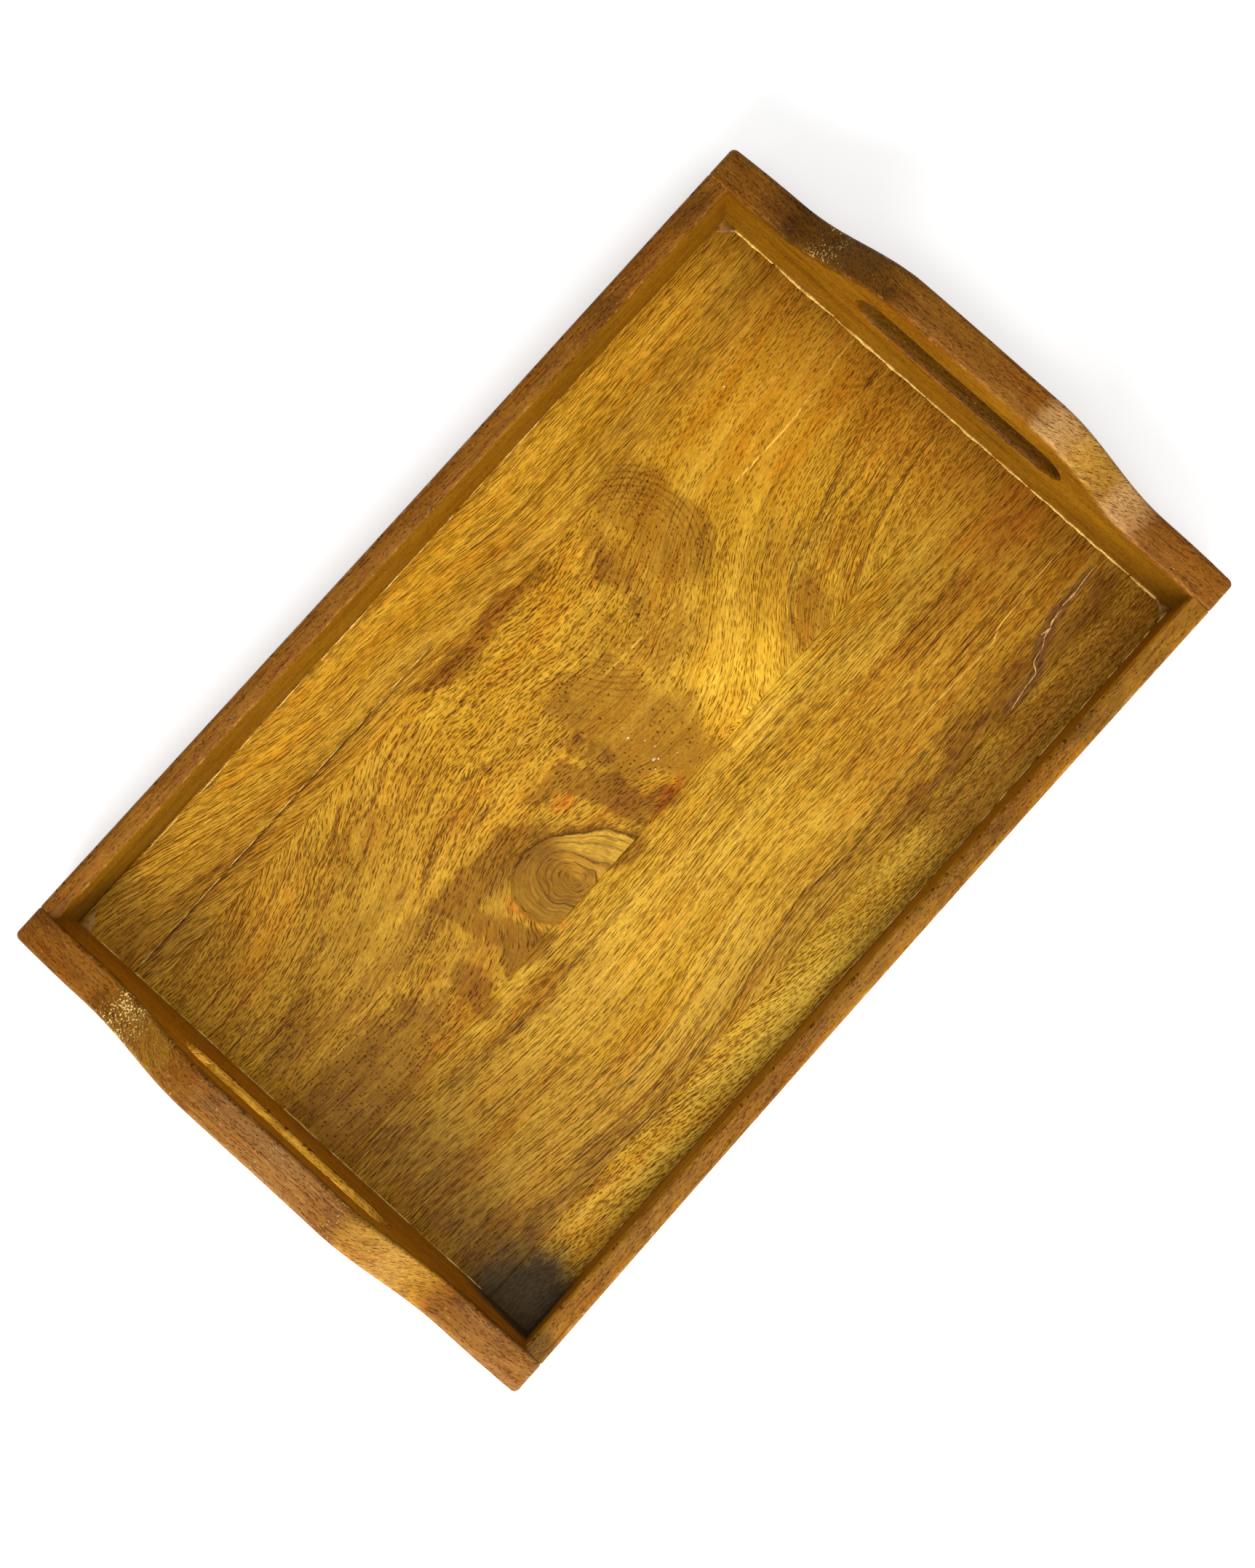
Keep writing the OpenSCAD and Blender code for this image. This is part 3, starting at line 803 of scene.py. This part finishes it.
def floor_stave(index):
    """One of the floor's four staves, counted from the back, with the figure that lies on it"""
    vertices, faces = stave_mesh(index)
    x, y, z = vertices.T
    along, across = stave_grain(index, x, y)
    ring, turn = knot_ring(x, y)
    if index == 1:
        # Fibres part round the knot
        bulge = np.exp(-np.maximum(ring - 1, 0) * 1.4)
        across = across - 9 * bulge * np.sign(y - KNOT_EYE[1] + 6)
        across = np.where(ring < 1, ring * 14 + 60, across)
    else:
        ring = np.full_like(x, 3.0)
    zones = [patch_field(*wander(x, y, seed), patches)
             for seed, patches in enumerate((HEARTWOOD, GREY_FIGURE, GLOW))]
    # Painted shade towards the ends, along the walls and in patches, less the paler patches, which are in
    # part painted light
    shade = np.interp(x, *np.array(SHADE_ALONG).T)
    shade = 1 - (1 - shade) * (1 - patch_field(x, y, SHADED)) - patch_field(x, y, PAINTED_LIGHT_AND_PALE)
    veins = line_field(x, y, VEINS)
    veins[:, 2] = patch_field(x, y, BRUISED)
    scratches = line_field(x, y, SCRATCHES)
    scratches[:, 2] = patch_field(x, y, CALM)
    return make_object(f"stave_{index + 1}", vertices, faces,
                       np.stack([along + 400 * index, across, z], -1),
                       zones=np.stack(zones, -1), marks=np.stack([ring, turn, shade], -1),
                       veins=veins, scratches=scratches)


# ---------------- walls

def rail_section():
    """Closed section of a rail as (distance from the outer face, height), counter-clockwise"""
    thick = OUT_Y - IN_Y
    # Corners as (distance, height, radius), and the quarter turn that rounds each
    corners = [(0.0, 0.0, 0.8), (thick, 0.0, 0.8), (thick, RAIL_H, 1.8), (0.0, RAIL_H, 2.2)]
    turns = [(1, 1, 180), (-1, 1, 270), (-1, -1, 0), (1, -1, 90)]
    points = []
    for (cy, cz, r), (sy, sz, start) in zip(corners, turns):
        for a in np.radians(np.linspace(start, start + 90, 7)):
            points.append((cy + sy * r + r * math.cos(a), cz + sz * r + r * math.sin(a)))
    dense = []
    for a, b in zip(points, points[1:] + points[:1]):
        count = max(1, int(math.dist(a, b) / 5))
        dense += [(a[0] + (b[0] - a[0]) * i / count, a[1] + (b[1] - a[1]) * i / count)
                  for i in range(count)]
    return np.array(dense)


def side_rail(name, side):
    """side is 1 at the back and -1 at the front. A rail is a little bowed or tapered, and its rim
    is wavy, from planing by hand."""
    section = rail_section()
    around = len(section)
    share = section[:, 0] / (OUT_Y - IN_Y)
    xs = np.linspace(-IN_X, IN_X, 120)
    rings = []
    for x in xs:
        bow = (0.9 if side < 0 else 0.25) * (1 - (x / IN_X) ** 2)
        taper = 0.8 * x / IN_X if side > 0 else 0.0
        depth = section[:, 0] + bow * (1 - share) + taper * share
        dip = 0.15 * (1 + math.sin(x / 38 + side)) * (section[:, 1] > RAIL_H / 2)
        rings.append(np.stack([np.full(around, x), side * (OUT_Y - depth), section[:, 1] - dip], -1))
    vertices = np.concatenate(rings)
    x, y, z = vertices.T
    wave = 1.2 * np.sin(x / 41 + side) + 0.03 * x * side
    grain = np.stack([x + 900 * side, z + y + wave, y - z], -1)
    none = np.zeros_like(x)
    # The rim is the top 3 mm, and its worn edges, in part painted highlights, lie just under its flat
    rim = np.clip((z - RAIL_H + 3.2) / 1.6, 0, 1)
    worn = np.clip((z - RAIL_H + 2.4) / 1.2, 0, 1) * (z < RAIL_H - 0.5)
    inner = (np.abs(y) < IN_Y + 1.3) & (z < RAIL_H - 1)
    dark = rim * np.interp(x, [-IN_X, -178, -172], [0.9, 0.8, 0]) if side < 0 else 0.3 * rim
    gold = 0.2 * inner + (0.5 * rim if side < 0 else 0)
    # The front rail's inner face is marked above 1, so that painted light makes it lighter
    return make_object(name, vertices, tube_faces(len(xs), around), grain,
                       marks=np.stack([rim, worn, inner * (1.6 if side < 0 else 1.0)], -1),
                       zones=np.stack([gold, dark, none], -1), veins=np.stack([none] * 3, -1))


def board_top(d):
    """Height of an end board's upper edge at distance d from its middle"""
    foot = GRIP_L / 2 + SHOULDER_L
    foot_h = RAIL_H + CORNER_RISE
    if d <= GRIP_L / 2:
        return GRIP_H
    if d <= foot:
        turn = math.pi * (d - GRIP_L / 2) / SHOULDER_L
        return foot_h + (GRIP_H - foot_h) * (1 + math.cos(turn)) / 2
    return RAIL_H + CORNER_RISE * (1 - ((d - foot) / (OUT_Y - foot)) ** 2)


def fillet(corner, before, after, radius):
    """Points of an arc that rounds a corner between two neighbours"""
    c = np.array(corner)
    a = (np.array(before) - c) / math.dist(before, corner)
    b = (np.array(after) - c) / math.dist(after, corner)
    half = math.acos(np.clip(a @ b, -1, 1)) / 2
    start, end = c + a * radius / math.tan(half), c + b * radius / math.tan(half)
    middle = c + (a + b) / np.linalg.norm(a + b) * radius / math.sin(half)
    angles = np.arctan2(*(np.stack([start, end]) - middle).T[::-1])
    sweep = (angles[1] - angles[0] + math.pi) % (2 * math.pi) - math.pi
    return [tuple(middle + radius * np.array([math.cos(t), math.sin(t)]))
            for t in angles[0] + sweep * np.linspace(0, 1, 6)]


def board_outline():
    """Closed outline of an end board as (y, z), counter-clockwise"""
    reach = np.linspace(OUT_Y - 4, 0, 56)
    half = [(d, board_top(d)) for d in reach]
    corner = (OUT_Y, board_top(OUT_Y))
    right = fillet((OUT_Y, 0.0), (0, 0), corner, 1.6)
    sides = [(OUT_Y, z) for z in np.linspace(6, RAIL_H - 6, 8)]
    right += sides + fillet(corner, (OUT_Y, 0), half[0], 3.0) + half
    left = [(-y, z) for y, z in right[-2::-1]]
    bottom = [(y, 0.0) for y in np.linspace(-OUT_Y + 6, OUT_Y - 6, 50)]
    return np.array(right + left + bottom)


def slot_outline():
    """Closed outline of the hand slot, counter-clockwise"""
    r = SLOT_H / 2
    half = SLOT_L / 2 - r
    turn = np.radians(np.linspace(-90, 90, 19))
    right = [(half + r * math.cos(a), SLOT_Z + r * math.sin(a)) for a in turn]
    left = [(-y, 2 * SLOT_Z - z) for y, z in right]
    flat = np.linspace(half, -half, 22)[1:-1]
    upper = [(y, SLOT_Z + r) for y in flat]
    lower = [(-y, SLOT_Z - r) for y in flat]
    return np.array(right + upper + left + lower)


def normals_2d(outline):
    """Outward unit normals of a counter-clockwise outline"""
    run = np.roll(outline, -1, axis=0) - np.roll(outline, 1, axis=0)
    out = np.stack([run[:, 1], -run[:, 0]], -1)
    return out / np.linalg.norm(out, axis=1, keepdims=True)


def rounded_wall(outline, outward, low_x, high_x, radii):
    """Rings from one face to the other over the outline, with both rims rounded over"""
    rings = []
    for face_x, towards, radius, turns in ((low_x, 1, radii[0], (0, 90)),
                                           (high_x, -1, radii[1], (90, 0))):
        for a in np.radians(np.linspace(*turns, 6)):
            inset = radius * (1 - np.sin(a))
            x = face_x + towards * radius * (1 - np.cos(a))
            rings.append(np.column_stack([x, outline - outward * inset[:, None]]))
    return rings


def flat_face(outer, hole, x):
    """Triangles between an outer ring and a hole's ring, over a grid of inner points"""
    gy, gz = np.meshgrid(np.arange(-OUT_Y, OUT_Y, 5.0), np.arange(2.0, GRIP_H, 4.5))
    grid = np.column_stack([gy.ravel(), gz.ravel()])
    keep = inside(grid, outer * [0.985, 1]) & ~inside(grid, hole)
    for ring in (outer, hole):
        gap = np.linalg.norm(grid[:, None] - ring[None], axis=2).min(1)
        keep &= gap > 1.6
    flat = np.concatenate([outer, hole, grid[keep]])
    a, b = len(outer), len(hole)
    edges = [(i, (i + 1) % a) for i in range(a)] + [(a + i, a + (i + 1) % b) for i in range(b)]
    points, _, faces, *_ = geometry.delaunay_2d_cdt([Vector(p) for p in flat], edges, [], 0, 1e-5)
    middles = np.array([np.mean([points[i] for i in f], axis=0) for f in faces])
    wanted = inside(middles, outer) & ~inside(middles, hole)
    vertices = [(x, p[0], p[1]) for p in points]
    return vertices, [tuple(f) for f, w in zip(faces, wanted) if w]


# Along each end board's rim, as (y, share): golden and dark stretches, in part painted light and
# shade on the slopes that face towards and away from the light; painted glints; painted sheen; and
# reddish stretches
RIM_TONES = {
    -1: (
        [(-82, 0), (-74, 0.7), (-60, 1), (-42, 1), (-36, 0.3), (-28, 0), (42, 0), (50, 0.6), (60, 0.8),
            (80, 0.5), (88, 0), (125, 0)],
        [(-125, 0.4), (-118, 0.2), (-108, 0), (-30, 0.15), (0, 0.25), (40, 0.3), (50, 0), (84, 0),
            (94, 0.35), (125, 0.3)],
        [(-40, 0), (-35, 0.5), (-31, 0.5), (-27, 0.2), (50, 0.3), (60, 0.3), (68, 1), (78, 1), (86, 0)],
        [(-125, 0.3), (-96, 0.3), (-80, 0), (-60, 0.35), (-44, 0.3), (-38, 0.2), (-10, 0.4), (20, 0.3),
            (60, 0.1), (90, 0)],
        [(-36, 0), (-30, 0.2), (40, 0.2), (48, 0), (90, 0), (98, 0.4), (125, 0.3)],
    ),
    1: (
        [(-74, 0), (-68, 0.7), (-60, 1), (-50, 1), (-44, 0.5), (-30, 0.2), (-24, 0), (88, 0), (100, 0.2),
            (125, 0.2)],
        [(-125, 0.2), (-95, 0.15), (-90, 0), (-20, 0), (-10, 0.25), (30, 0.4), (44, 0.6), (54, 0.95),
            (84, 0.95), (92, 0.5), (110, 0.2), (125, 0.3)],
        [(-60, 0), (-56, 0.3), (-48, 0.3), (-44, 0), (62, 0), (66, 0.6), (76, 0.6), (82, 0)],
        [(-92, 0), (-82, 0.6), (-72, 0.95), (-66, 0.3), (-54, 0.3), (-46, 0.5), (-38, 1), (-32, 0.8),
            (-26, 0)],
        [(-125, 0.3), (-84, 0.4), (-74, 0.2), (-66, 0), (-26, 0), (0, 0.1), (40, 0)],
    ),
}


def end_board_mesh(side):
    """Vertices and faces of an end board with its hand slot"""
    outline, slot = board_outline(), slot_outline()
    low_x, high_x = sorted((side * IN_X, side * OUT_X))
    # Edges are rounded over further towards the top, and unevenly
    upper = np.clip((outline[:, 1] - 8) / 20, 0, 1)
    inner_r, outer_r = 0.5 + 0.9 * upper, 1.0 + 1.2 * upper
    worn = 0.25 * np.sin(outline[:, 0] / 11 + side) * upper
    radii = (inner_r + worn, outer_r - worn)[::side]
    slot_r = np.full(len(slot), 2.0)
    wall = rounded_wall(outline, normals_2d(outline), low_x, high_x, radii)
    lining = rounded_wall(slot, -normals_2d(slot), low_x, high_x, (slot_r, slot_r))
    parts = [(np.concatenate(rings), strip_faces(len(rings), len(rings[0])))
             for rings in (wall, lining)]
    parts += [flat_face(wall[end][:, 1:], lining[end][:, 1:], wall[end][0, 0]) for end in (0, -1)]
    work = bmesh.new()
    for points, faces in parts:
        made = [work.verts.new(p) for p in points]
        for face in faces:
            work.faces.new([made[i] for i in face])
    bmesh.ops.remove_doubles(work, verts=work.verts, dist=0.02)
    loose = [v for v in work.verts if not v.link_faces]
    bmesh.ops.delete(work, geom=loose, context="VERTS")
    work.verts.index_update()
    vertices = np.array([v.co[:] for v in work.verts])
    faces = [tuple(v.index for v in f.verts) for f in work.faces]
    work.free()
    return vertices, faces


def end_board(name, side):
    """side is 1 at the right and -1 at the left"""
    vertices, faces = end_board_mesh(side)
    x, y, z = vertices.T
    wave = 1.5 * np.sin(y / 37 + side) + 0.02 * y * side
    grain = np.stack([y + 0.3 * x + 700 * side, z + x + wave, x - z * 0.3], -1)
    # Depth under the board's upper edge, which says where its rim and its worn edges, in part painted
    # highlights, are
    below = np.array([board_top(min(abs(v), OUT_Y)) for v in y]) - z
    rim = np.clip((3.4 - below) / 1.6, 0, 1)
    worn = np.clip((2.6 - below) / 1.2, 0, 1) * (below > 0.5)
    past_flat = np.maximum(np.abs(y) - SLOT_L / 2 + SLOT_H / 2, 0)
    in_slot = inside(np.stack([y, z], -1), slot_outline() * [1.03, 1.0])
    in_slot |= np.abs(np.hypot(past_flat, z - SLOT_Z) - SLOT_H / 2) < 0.4
    inner = (np.abs(x) < IN_X + 0.3) & (below > 2)
    # On the left board the inner face is painted lighter, as painted light that the floor throws back
    marks = np.stack([rim, worn, inner * (1.95 if side < 0 else 1.0) * ~in_slot], -1)
    tones = np.stack([rim * np.interp(y, *np.array(tone).T) for tone in RIM_TONES[side]], -1)
    # The slot's lining gets painted light on the left board and painted shade on the right
    return make_object(name, vertices, faces, grain, marks=marks, zones=tones[:, :3],
                       veins=np.column_stack([tones[:, 3:], -side * in_slot]))


# ---------------- dried finish on the floor

def resampled(points, pitch):
    """Places along an open line at an even pitch"""
    points = np.array(points, float)
    run = np.concatenate([[0], np.cumsum(np.linalg.norm(np.diff(points, axis=0), axis=1))])
    steps = np.linspace(0, run[-1], max(4, int(run[-1] / pitch)))
    return np.stack([np.interp(steps, run, points[:, i]) for i in (0, 1)], -1)


def eased(values, reach):
    """values smoothed over a few neighbours"""
    kernel = np.hanning(2 * reach + 3)[1:-1]
    padded = np.pad(values, reach, mode="edge")
    return np.convolve(padded, kernel / kernel.sum(), mode="valid")


def ribbons(name, runs, seed):
    """Thin raised strips of uneven width that lie on the floor. A run is (width, height, points)."""
    vary = np.random.default_rng(seed)
    arc = np.linspace(0, math.pi, 7)
    side = np.concatenate([[1], np.cos(arc), [-1]])
    lift = np.concatenate([[-1], np.sin(arc), [-1]])
    vertices, faces = [], []
    for width, height, points in runs:
        line = resampled(points, 0.9)
        count = len(line)
        ahead = np.gradient(line, axis=0)
        ahead /= np.linalg.norm(ahead, axis=1, keepdims=True)
        across = np.stack([-ahead[:, 1], ahead[:, 0]], -1)
        share = 0.3 + 1.3 * eased(vary.uniform(0, 1, count), 2) ** 1.3
        share *= np.sin(np.linspace(0.06, math.pi - 0.06, count)) ** 0.35
        line = line + across * (0.14 * width * eased(vary.normal(0, 1, count), 3))[:, None]
        faces += tube_faces(count, len(side), len(vertices))
        for spot, turned, part in zip(line, across, share):
            for s, z in zip(side, lift):
                flat = spot + turned * s * width / 2 * part
                raised = FLOOR_TOP - 0.5 if z < 0 else FLOOR_TOP - 0.12 + z * height * part
                vertices.append((flat[0], flat[1], raised))
    return make_object(name, vertices, faces, np.array(vertices))


def pads(name, shapes, seed):
    """Low lumps with ragged outlines. A shape is (height, outline)."""
    vary = np.random.default_rng(seed)
    vertices, faces = [], []
    for height, outline in shapes:
        ring = resampled(outline + outline[:1], math.dist(outline[0], outline[1]) / 3)[:-1]
        middle = ring.mean(0)
        size = np.linalg.norm(ring - middle, axis=1).mean()
        ring = ring + vary.normal(0, 0.06 * size, ring.shape)
        levels = ((1, -0.5), (1, 0.0), (0.86, 0.6), (0.5, 1.0))
        faces += tube_faces(len(levels), len(ring), len(vertices))
        for scale, z in levels:
            for spot in middle + (ring - middle) * scale:
                bump = 0.0 if z <= 0 else vary.normal(0, 0.12 * height)
                raised = FLOOR_TOP - 0.5 if z < 0 else FLOOR_TOP - 0.1 + z * height + bump
                vertices.append((spot[0], spot[1], raised))
    return make_object(name, vertices, faces, np.array(vertices))


def oval(x, y, rx, ry):
    """Outline of nine points"""
    return [(x + rx * math.cos(t), y + ry * math.sin(t))
            for t in np.linspace(0, 2 * math.pi, 9, endpoint=False)]


def broken(a, b, seed, share, longest):
    """Stretches of the line from a to b, none over longest mm, that are left after parts of it have
    worn away. share is about how much is left."""
    vary = np.random.default_rng(seed)
    length = math.dist(a, b)
    at, parts = 0.0, []
    while at < length - 3:
        run = min(vary.uniform(0.2, 1) * longest, length - at)
        start, stop = at / length, (at + run) / length
        parts.append([(a[0] + (b[0] - a[0]) * t, a[1] + (b[1] - a[1]) * t) for t in (start, stop)])
        at += run + vary.uniform(0.2, 1) * longest * (1 - share)
    return parts


def broken_runs(lines):
    """Ribbon runs along broken lines. A line is (width, height, start, end, seed, share, longest)."""
    return [(width, height, run) for width, height, *line in lines for run in broken(*line)]


# Finish gathered along the floor's edges, and the lips of the crack and of a seam
EDGE_X, EDGE_Y = IN_X - 0.3, IN_Y - 0.3
EDGE_LINES = [
    (1.3, 0.4, (EDGE_X, -112), (EDGE_X, 113), 3, 0.97, 60),
    (0.7, 0.25, (-EDGE_X, -92), (-EDGE_X, 10), 4, 0.9, 30),
    (0.6, 0.25, (-EDGE_X, 14), (-EDGE_X, 108), 5, 0.7, 24),
    (0.6, 0.3, (-150, EDGE_Y), (182, EDGE_Y), 6, 0.75, 40),
    (0.7, 0.3, (0, -EDGE_Y), (184, -EDGE_Y), 7, 0.55, 16),
    (0.45, 0.25, (-150, -EDGE_Y), (0, -EDGE_Y), 8, 0.4, 14),
]
LIP_LINES = [
    (0.5, 0.16, (CRACK_X[0], CRACK_Y + 0.5), (CRACK_X[1], CRACK_Y + 0.3), 9, 0.72, 18),
    (0.4, 0.14, (-160, SEAMS_Y[3] + 0.2), (60, SEAMS_Y[3] + 0.2), 10, 0.6, 20),
]
# Pale resin in the split: (width, height, points)
SPLIT_RUNS = [
    (0.55, 0.12, [(115.5, -95.9), (120, -95.1), (127, -94.2), (132, -93.9)]),
    (0.55, 0.12, [(132, -93.9), (133.4, -92.6), (134.4, -90.6), (136, -89.8), (140.8, -89.1)]),
    (0.7, 0.14, [(140.4, -89.3), (143.3, -87.9), (145.6, -86.6), (149.4, -86.2)]),
    (1.0, 0.16, [(144.8, -85.2), (147, -85.9), (149.6, -86.5)]),
    (0.6, 0.12, [(149.6, -86), (151, -85.2), (155.8, -84.7), (158, -84.9)]),
    (0.8, 0.14, [(159, -84), (163, -84.3), (167, -84.4)]),
    (0.7, 0.12, [(167, -84.3), (171.7, -83.7), (178, -83.2)]),
]
# Filler in three corners of the floor and two drops beside them: (height, outline)
CORNER_SHAPES = [
    (0.5, [(185.8, 115.8), (179, 115.8), (180.5, 113), (184.4, 109), (185.8, 107)]),
    (0.4, [(-185.8, 115.8), (-185.8, 111), (-183, 111), (-179, 113.5), (-177, 115.8)]),
    (0.4, [(185.8, -115.8), (185.8, -107), (184.6, -109), (183, -114), (180, -115.8)]),
    (0.25, oval(-112, 114.2, 1.8, 0.7)), (0.2, oval(-157, 110, 1.2, 0.4)),
]
# Pale flakes, as (x, y, radius)
SPECKS = [(9, -6, 0.9), (10.3, -7.2, 0.5), (8.4, 7, 0.6), (12, 1.5, 0.4), (13, -3, 0.45),
          (17, -11, 0.4), (6.5, -9, 0.4), (136, 71, 0.5), (-60, 100, 0.4), (-12, 52, 0.4)]


def dried_finish(name, pale, dull):
    """Lumpy old lacquer between two tones, with grime on it"""
    n = Nodes(name)
    place = n.position()
    lumps = n.lumps(place, 2.2, 4, 0.65)
    grime = n.lumps(place, 11, 3)
    colour = n.mix(n.smooth(lumps, 0.35, 0.6), dull, pale)
    colour = n.tint(n.smooth(grime, 0.5, 0.68, 0, 0.75), colour, (0.5, 0.38, 0.22))
    return n.finish(colour, n.line(lumps, 0.3, 0.7, 0.35, 0.6), lumps, 0.0002,
                    Specular_IOR_Level=0.3)


# ---------------- build

WALL_WOOD = dict(pale=srgb(142, 92, 26), deep=srgb(110, 65, 10), pore_amount=0.45, specks=0.12,
                 dash=(1.8, 0.3), fibre=16.0, contrast=0.65, sway=0.8)
STAVE_WOODS = [
    dict(pale=srgb(216, 166, 52), deep=srgb(180, 125, 8), pore_amount=0.9, dash=(6.0, 0.34),
         fibre=30.0, contrast=0.9, sway=0.7),
    dict(pale=srgb(214, 166, 52), deep=srgb(178, 124, 8), pore_amount=0.9, dash=(3.0, 0.34),
         fibre=12.0, contrast=0.85, sway=1.0),
    dict(pale=srgb(215, 170, 58), deep=srgb(185, 134, 12), pore_amount=0.85, dash=(5.0, 0.32),
         fibre=36.0, contrast=0.95, sway=0.35),
    dict(pale=srgb(230, 187, 66), deep=srgb(200, 149, 20), pore_amount=0.95, dash=(2.6, 0.42),
         fibre=14.0, contrast=0.8, sway=0.5),
]
# A wall's CAD node, its piece, what makes it, its side, and its material slot
WALLS = [
    ("end_board_left", "grip_board_left", end_board, -1, "end_wood"),
    ("end_board_right", "grip_board_right", end_board, 1, "end_wood"),
    ("side_rail_front", "rail_board_front", side_rail, -1, "rail_wood"),
    ("side_rail_back", "rail_board_back", side_rail, 1, "rail_wood"),
]


def stand_for(piece, node, material):
    """Puts a finished board in the place of its CAD node"""
    piece.data.materials.append(material)
    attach(piece, "root")
    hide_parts(node)


for node, name, make, side, slot in WALLS:
    stand_for(make(name, side), node, wood(f"{node}_wood", stain=side < 0, **WALL_WOOD))
for index, looks in enumerate(STAVE_WOODS):
    material = wood(f"stave_{index + 1}_wood", zoned=True, stain=index > 1, **looks)
    stand_for(floor_stave(index), f"floor_stave_{index + 1}", material)

cream = dried_finish("dried_finish", srgb(226, 190, 100), srgb(176, 128, 40))
chalk = dried_finish("chalky_residue", srgb(164, 118, 44), srgb(118, 78, 20))
flakes = dried_finish("pale_flakes", srgb(226, 208, 172), srgb(190, 160, 112))
resin = dried_finish("split_resin", srgb(236, 186, 96), srgb(160, 114, 60))
speck_shapes = [(0.16, oval(x, y, r, 0.7 * r)) for x, y, r in SPECKS]
for piece, material in ((ribbons("edge_finish", broken_runs(EDGE_LINES), 21), cream),
                        (ribbons("raised_lips", broken_runs(LIP_LINES), 22), cream),
                        (ribbons("split_resin", SPLIT_RUNS, 23), resin),
                        (pads("corner_filler", CORNER_SHAPES, 24), chalk),
                        (pads("finish_specks", speck_shapes, 25), flakes)):
    piece.data.materials.append(material)
    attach(piece, "root")


def dowel_wood():
    n = Nodes("dowel_wood")
    fibre = n.lumps(n.position(), (9, 0.6, 0.6), 4)
    colour = n.mix(n.smooth(fibre, 0.35, 0.65), srgb(222, 190, 140), srgb(186, 146, 96))
    return n.finish(colour, n.line(fibre, 0, 1, 0.55, 0.7), fibre, 0.0001)


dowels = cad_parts["corner_dowels"]
dowels.data.materials.clear()
dowels.data.materials.append(dowel_wood())


# ---------------- stage, light and camera

STAGE_SIZE = 8
STAGE_Z = -0.0004                 # just under the tray, so that the two faces don't coincide
ROOM_LIGHT = 0.42
# Softboxes, in metres and watts: (name, place, where it points, (width, height), power)
SOFTBOXES = [
    ("overhead_softbox", (-0.1, -0.15, 1.7), (0, 0, 0), (0.9, 0.7), 10),
    ("key_softbox", (-1.05, -0.55, 0.95), (0, 0, 0), (0.8, 0.8), 23),
    ("low_strip", (-0.5, -1.3, 0.3), (0, 0, 0.05), (1.6, 0.5), 14),
    ("left_strip", (-1.3, -0.1, 0.3), (-0.1, 0, 0.05), (1.2, 0.4), 7),
]
# The camera looks almost straight down, with the tray turned under it
CAMERA_PLACE = (-0.0489, -0.0513, 0.9056)
CAMERA_TURN = (0.0710, 0.0059, -0.8395)
LENS = 53.455                     # on a 36 mm sensor


def stage_floor():
    n = Nodes("stage_paint")
    grit = n.lumps(n.position(), 60, 3)
    paint = n.finish(n.mix(grit, (0.9, 0.9, 0.9, 1), (0.93, 0.93, 0.93, 1)), 0.9,
                     Emission_Color=(1, 1, 1, 1), Emission_Strength=0.3)
    bpy.ops.mesh.primitive_plane_add(size=STAGE_SIZE, location=(0, 0, STAGE_Z))
    floor = bpy.context.object
    floor.name = "stage_floor"
    floor.data.materials.append(paint)


def area_light(name, place, target, size, power):
    light = bpy.data.lights.new(name, "AREA")
    light.shape = "RECTANGLE"
    light.size, light.size_y = size
    light.energy = power
    lamp = bpy.data.objects.new(name, light)
    bpy.context.collection.objects.link(lamp)
    lamp.location = place
    lamp.rotation_euler = (Vector(target) - Vector(place)).to_track_quat("-Z", "Y").to_euler()


def white_room():
    world = bpy.data.worlds.new("studio")
    bpy.context.scene.world = world
    world.use_nodes = True
    background = world.node_tree.nodes["Background"]
    background.inputs["Color"].default_value = (1, 1, 1, 1)
    background.inputs["Strength"].default_value = ROOM_LIGHT


def place_camera():
    camera = bpy.data.cameras.new("camera")
    camera.lens = LENS
    camera.sensor_width = 36
    viewer = bpy.data.objects.new("camera", camera)
    bpy.context.collection.objects.link(viewer)
    viewer.location = CAMERA_PLACE
    viewer.rotation_euler = CAMERA_TURN
    bpy.context.scene.camera = viewer
    bpy.context.scene.view_settings.view_transform = "Standard"


stage_floor()
for softbox in SOFTBOXES:
    area_light(*softbox)
white_room()
place_camera()
